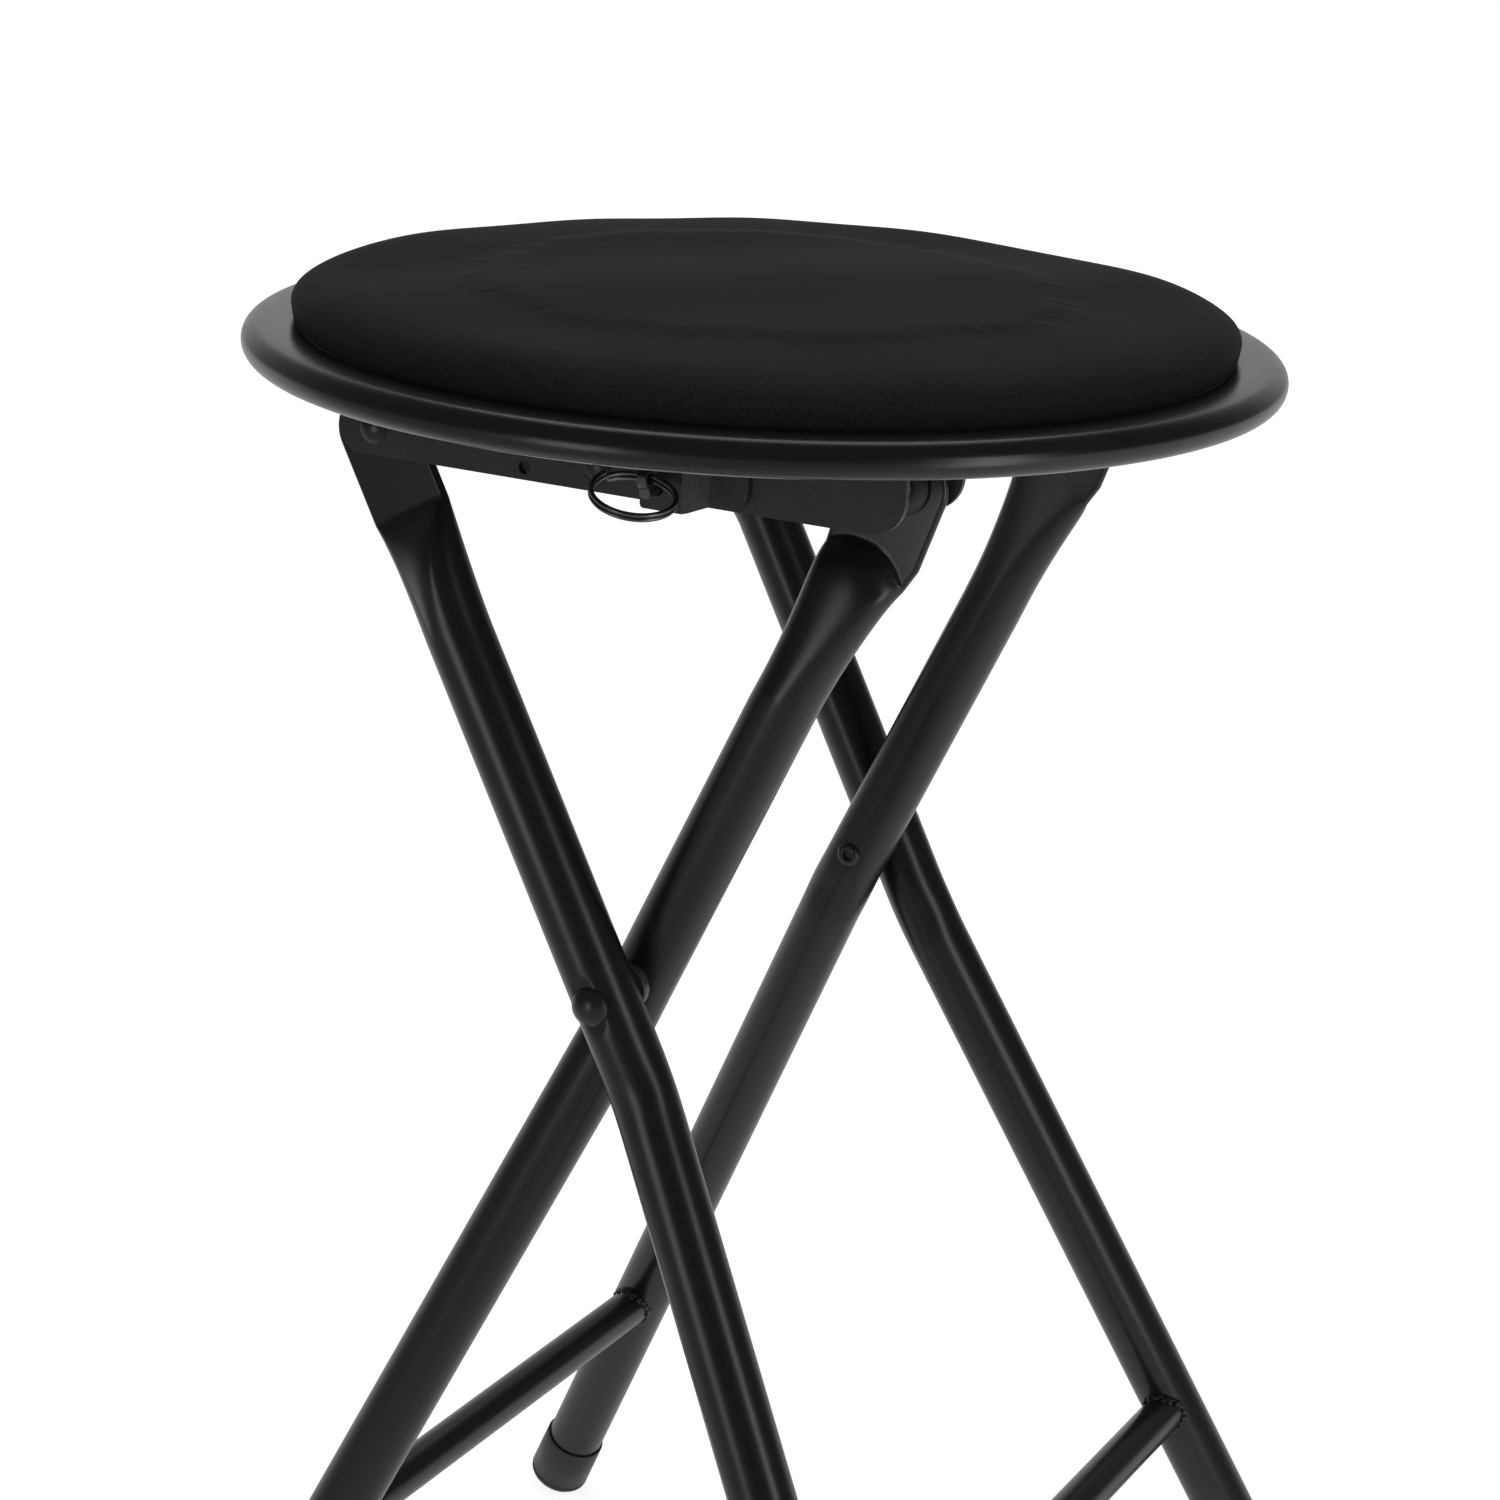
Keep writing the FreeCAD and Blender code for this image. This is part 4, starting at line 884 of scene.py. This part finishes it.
# Cushion
# Foam under a cover of soft, finely napped black sheet, pulled over the board; its side draws in
# to the rim and its top is gently and unevenly crowned.
pad_low_side, pad_shoulder_rise, pad_shoulder, pad_crown = 5.4, 8.4, 21.0, 2.3
foot_z = rim_inner + 0.1
board_thick = 4.0
pad_voxel = 4 * mm
cloth_frames = 20
held_rise = 2.5
swell_limit = 0.6 * mm


def pad_profile():
    """Outline of the pad's section, as radius and height: underside on the board, skirt down to the
    rim, drawn-in side, shoulder arc and crown."""
    bottom = board_z + board_thick
    inner = board_radius + 0.25
    foot = (pad_radius - pad_waist + 0.2, foot_z)
    wide = (pad_radius, foot_z + pad_low_side)
    edge = (pad_radius - pad_shoulder, wide[1] + pad_shoulder_rise)
    skirt = [(0.4, bottom), (60, bottom), (110, bottom), (inner, bottom), (inner, board_z + 0.25),
             (inner + 0.4, board_z + 0.25), (foot[0] - 0.15, foot_z + 0.35)]
    side = [(foot[0] + (wide[0] - foot[0]) * s ** 0.6, foot_z + pad_low_side * s)
            for s in np.linspace(0, 1, 12)]
    turn = np.radians(np.linspace(0, 82, 16))[1:]
    shoulder = [(edge[0] - 1 + (wide[0] - edge[0] + 1) * math.cos(t) ** 0.9,
                 wide[1] + (edge[1] - wide[1]) * math.sin(t)) for t in turn]
    last = shoulder[-1]
    across = np.linspace(last[0], 0.4, 26)[1:]
    crown = [(r, last[1] + pad_crown * (1 - (r / last[0]) ** 2)) for r in across]
    return skirt + side + shoulder + crown


def positions(mesh):
    """Places of a mesh's points, one row each."""
    flatten = np.empty(len(mesh.vertices) * 3, np.float32)
    mesh.vertices.foreach_get("co", flatten)
    return flatten.reshape(-1, 3)


def place_points(mesh, points):
    """Puts a mesh's points at new places."""
    mesh.vertices.foreach_set("co", points.astype(np.float32).ravel())
    mesh.update()


def high_share(height):
    """How far up the pad's shoulder a height is: 0 below it, 1 on the top."""
    return np.clip((height / mm - 461) / 5, 0, 1)


def blown_up(thing):
    """Presses an even copy of the pad up as cloth from inside, its bottom held, and gives the pad the
    copy's unevenness: how far the cloth near each point rose beyond the mean, within a limit."""
    cover = bpy.data.objects.new("cover", thing.data.copy())
    bpy.context.scene.collection.objects.link(cover)
    remesh = cover.modifiers.new("remesh", "REMESH")
    remesh.mode = "VOXEL"
    remesh.voxel_size = pad_voxel
    with bpy.context.temp_override(active_object=cover, object=cover):
        bpy.ops.object.modifier_apply(modifier="remesh")
    rest = positions(cover.data)
    held = cover.vertex_groups.new(name="held")
    low = np.nonzero(rest[:, 2] < (board_z + held_rise) * mm)[0]
    held.add(low.tolist(), 1.0, "REPLACE")
    cloth = cover.modifiers.new("cloth", "CLOTH")
    cloth.settings.use_pressure = True
    cloth.settings.uniform_pressure_force = 4
    cloth.settings.mass = 0.3
    cloth.settings.bending_stiffness = 6
    cloth.settings.vertex_group_mass = "held"
    cloth.settings.effector_weights.gravity = 0
    cloth.point_cache.frame_start = 1
    cloth.point_cache.frame_end = cloth_frames
    scene = bpy.context.scene
    for step in range(1, cloth_frames + 1):
        scene.frame_set(step)
    shaped = cover.evaluated_get(bpy.context.evaluated_depsgraph_get())
    rise = positions(shaped.data)[:, 2] - rest[:, 2]
    scene.frame_set(1)
    bpy.data.objects.remove(cover)
    tree = KDTree(len(rest))
    for index, point in enumerate(rest):
        tree.insert(point, index)
    tree.balance()
    points = positions(thing.data)
    share = high_share(points[:, 2])
    lift = np.zeros(len(points))
    for index in np.nonzero(share > 0)[0]:
        near = tree.find_n(points[index], 14)
        weight = np.array([1 / (away + 2 * mm) ** 2 for _, _, away in near])
        lift[index] = (weight * rise[[place for _, place, _ in near]]).sum() / weight.sum()
    lift = np.clip(lift - lift[share == 1].mean(), -swell_limit, swell_limit)
    points[:, 2] += lift * share
    place_points(thing.data, points)


def uneven(thing):
    """Soft hollows and swellings of the foam: low waves added to the height of the top."""
    points = positions(thing.data)
    x, y = points[:, 0] / mm, points[:, 1] / mm
    lift = (0.55 * np.sin(x / 31 + 0.6) * np.cos(y / 37 + 0.4) + 0.45 * np.sin(x / 19 - y / 23 + 1.9)
            + 0.25 * np.sin(x / 11 + y / 14))
    points[:, 2] += (lift - 0.6) * high_share(points[:, 2]) * mm
    place_points(thing.data, points)


def napped_cover():
    """Fine short nap: noise grain, a soft bloom of sheen at low angles, and faint brushed patches."""
    material = bpy.data.materials.new("napped_cover")
    node, join = links(material)
    place = node("ShaderNodeTexCoord")
    nap = node("ShaderNodeTexNoise")
    nap.inputs["Scale"].default_value = 1500
    nap.inputs["Detail"].default_value = 4
    nap.inputs["Roughness"].default_value = 0.7
    join(place.outputs["Object"], nap.inputs["Vector"])
    patch = node("ShaderNodeTexNoise")
    patch.inputs["Scale"].default_value = 16
    patch.inputs["Detail"].default_value = 5
    patch.inputs["Distortion"].default_value = 0.5
    join(place.outputs["Object"], patch.inputs["Vector"])
    tone = node("ShaderNodeMix", data_type="RGBA")
    tone.inputs["A"].default_value = (0.0118, 0.0113, 0.0128, 1)
    tone.inputs["B"].default_value = (0.0175, 0.0167, 0.0187, 1)
    join(patch.outputs["Fac"], tone.inputs["Factor"])
    speck = node("ShaderNodeMapRange")
    speck.inputs["From Min"].default_value = 0.3
    speck.inputs["From Max"].default_value = 0.7
    speck.inputs["To Min"].default_value = 0.5
    speck.inputs["To Max"].default_value = 1.55
    join(nap.outputs["Fac"], speck.inputs["Value"])
    grain = node("ShaderNodeVectorMath", operation="SCALE")
    join(tone.outputs["Result"], grain.inputs[0])
    join(speck.outputs[0], grain.inputs["Scale"])
    bump = node("ShaderNodeBump")
    bump.inputs["Distance"].default_value = 0.03 * mm
    join(nap.outputs["Fac"], bump.inputs["Height"])
    shade = node("ShaderNodeBsdfPrincipled")
    shade.inputs["Roughness"].default_value = 0.62
    shade.inputs["Specular IOR Level"].default_value = 0.03
    shade.inputs["Sheen Weight"].default_value = 0.015
    shade.inputs["Sheen Roughness"].default_value = 0.45
    join(grain.outputs[0], shade.inputs["Base Color"])
    join(bump.outputs["Normal"], shade.inputs["Normal"])
    out = node("ShaderNodeOutputMaterial")
    join(shade.outputs[0], out.inputs["Surface"])
    return material


cushion_points = turned(np.array(pad_profile()) * mm, (seat_x * mm, 0, 0), (0, 0, 1), 240)
cushion = mesh_of("seat_pad", cushion_points, sharp=60)
blown_up(cushion)
uneven(cushion)
smooth = cushion.modifiers.new("smooth", "SUBSURF")
smooth.levels = 1
smooth.render_levels = 1
fit(dress(cushion, napped_cover()), "seat", "pad_cover", "seat_cushion")
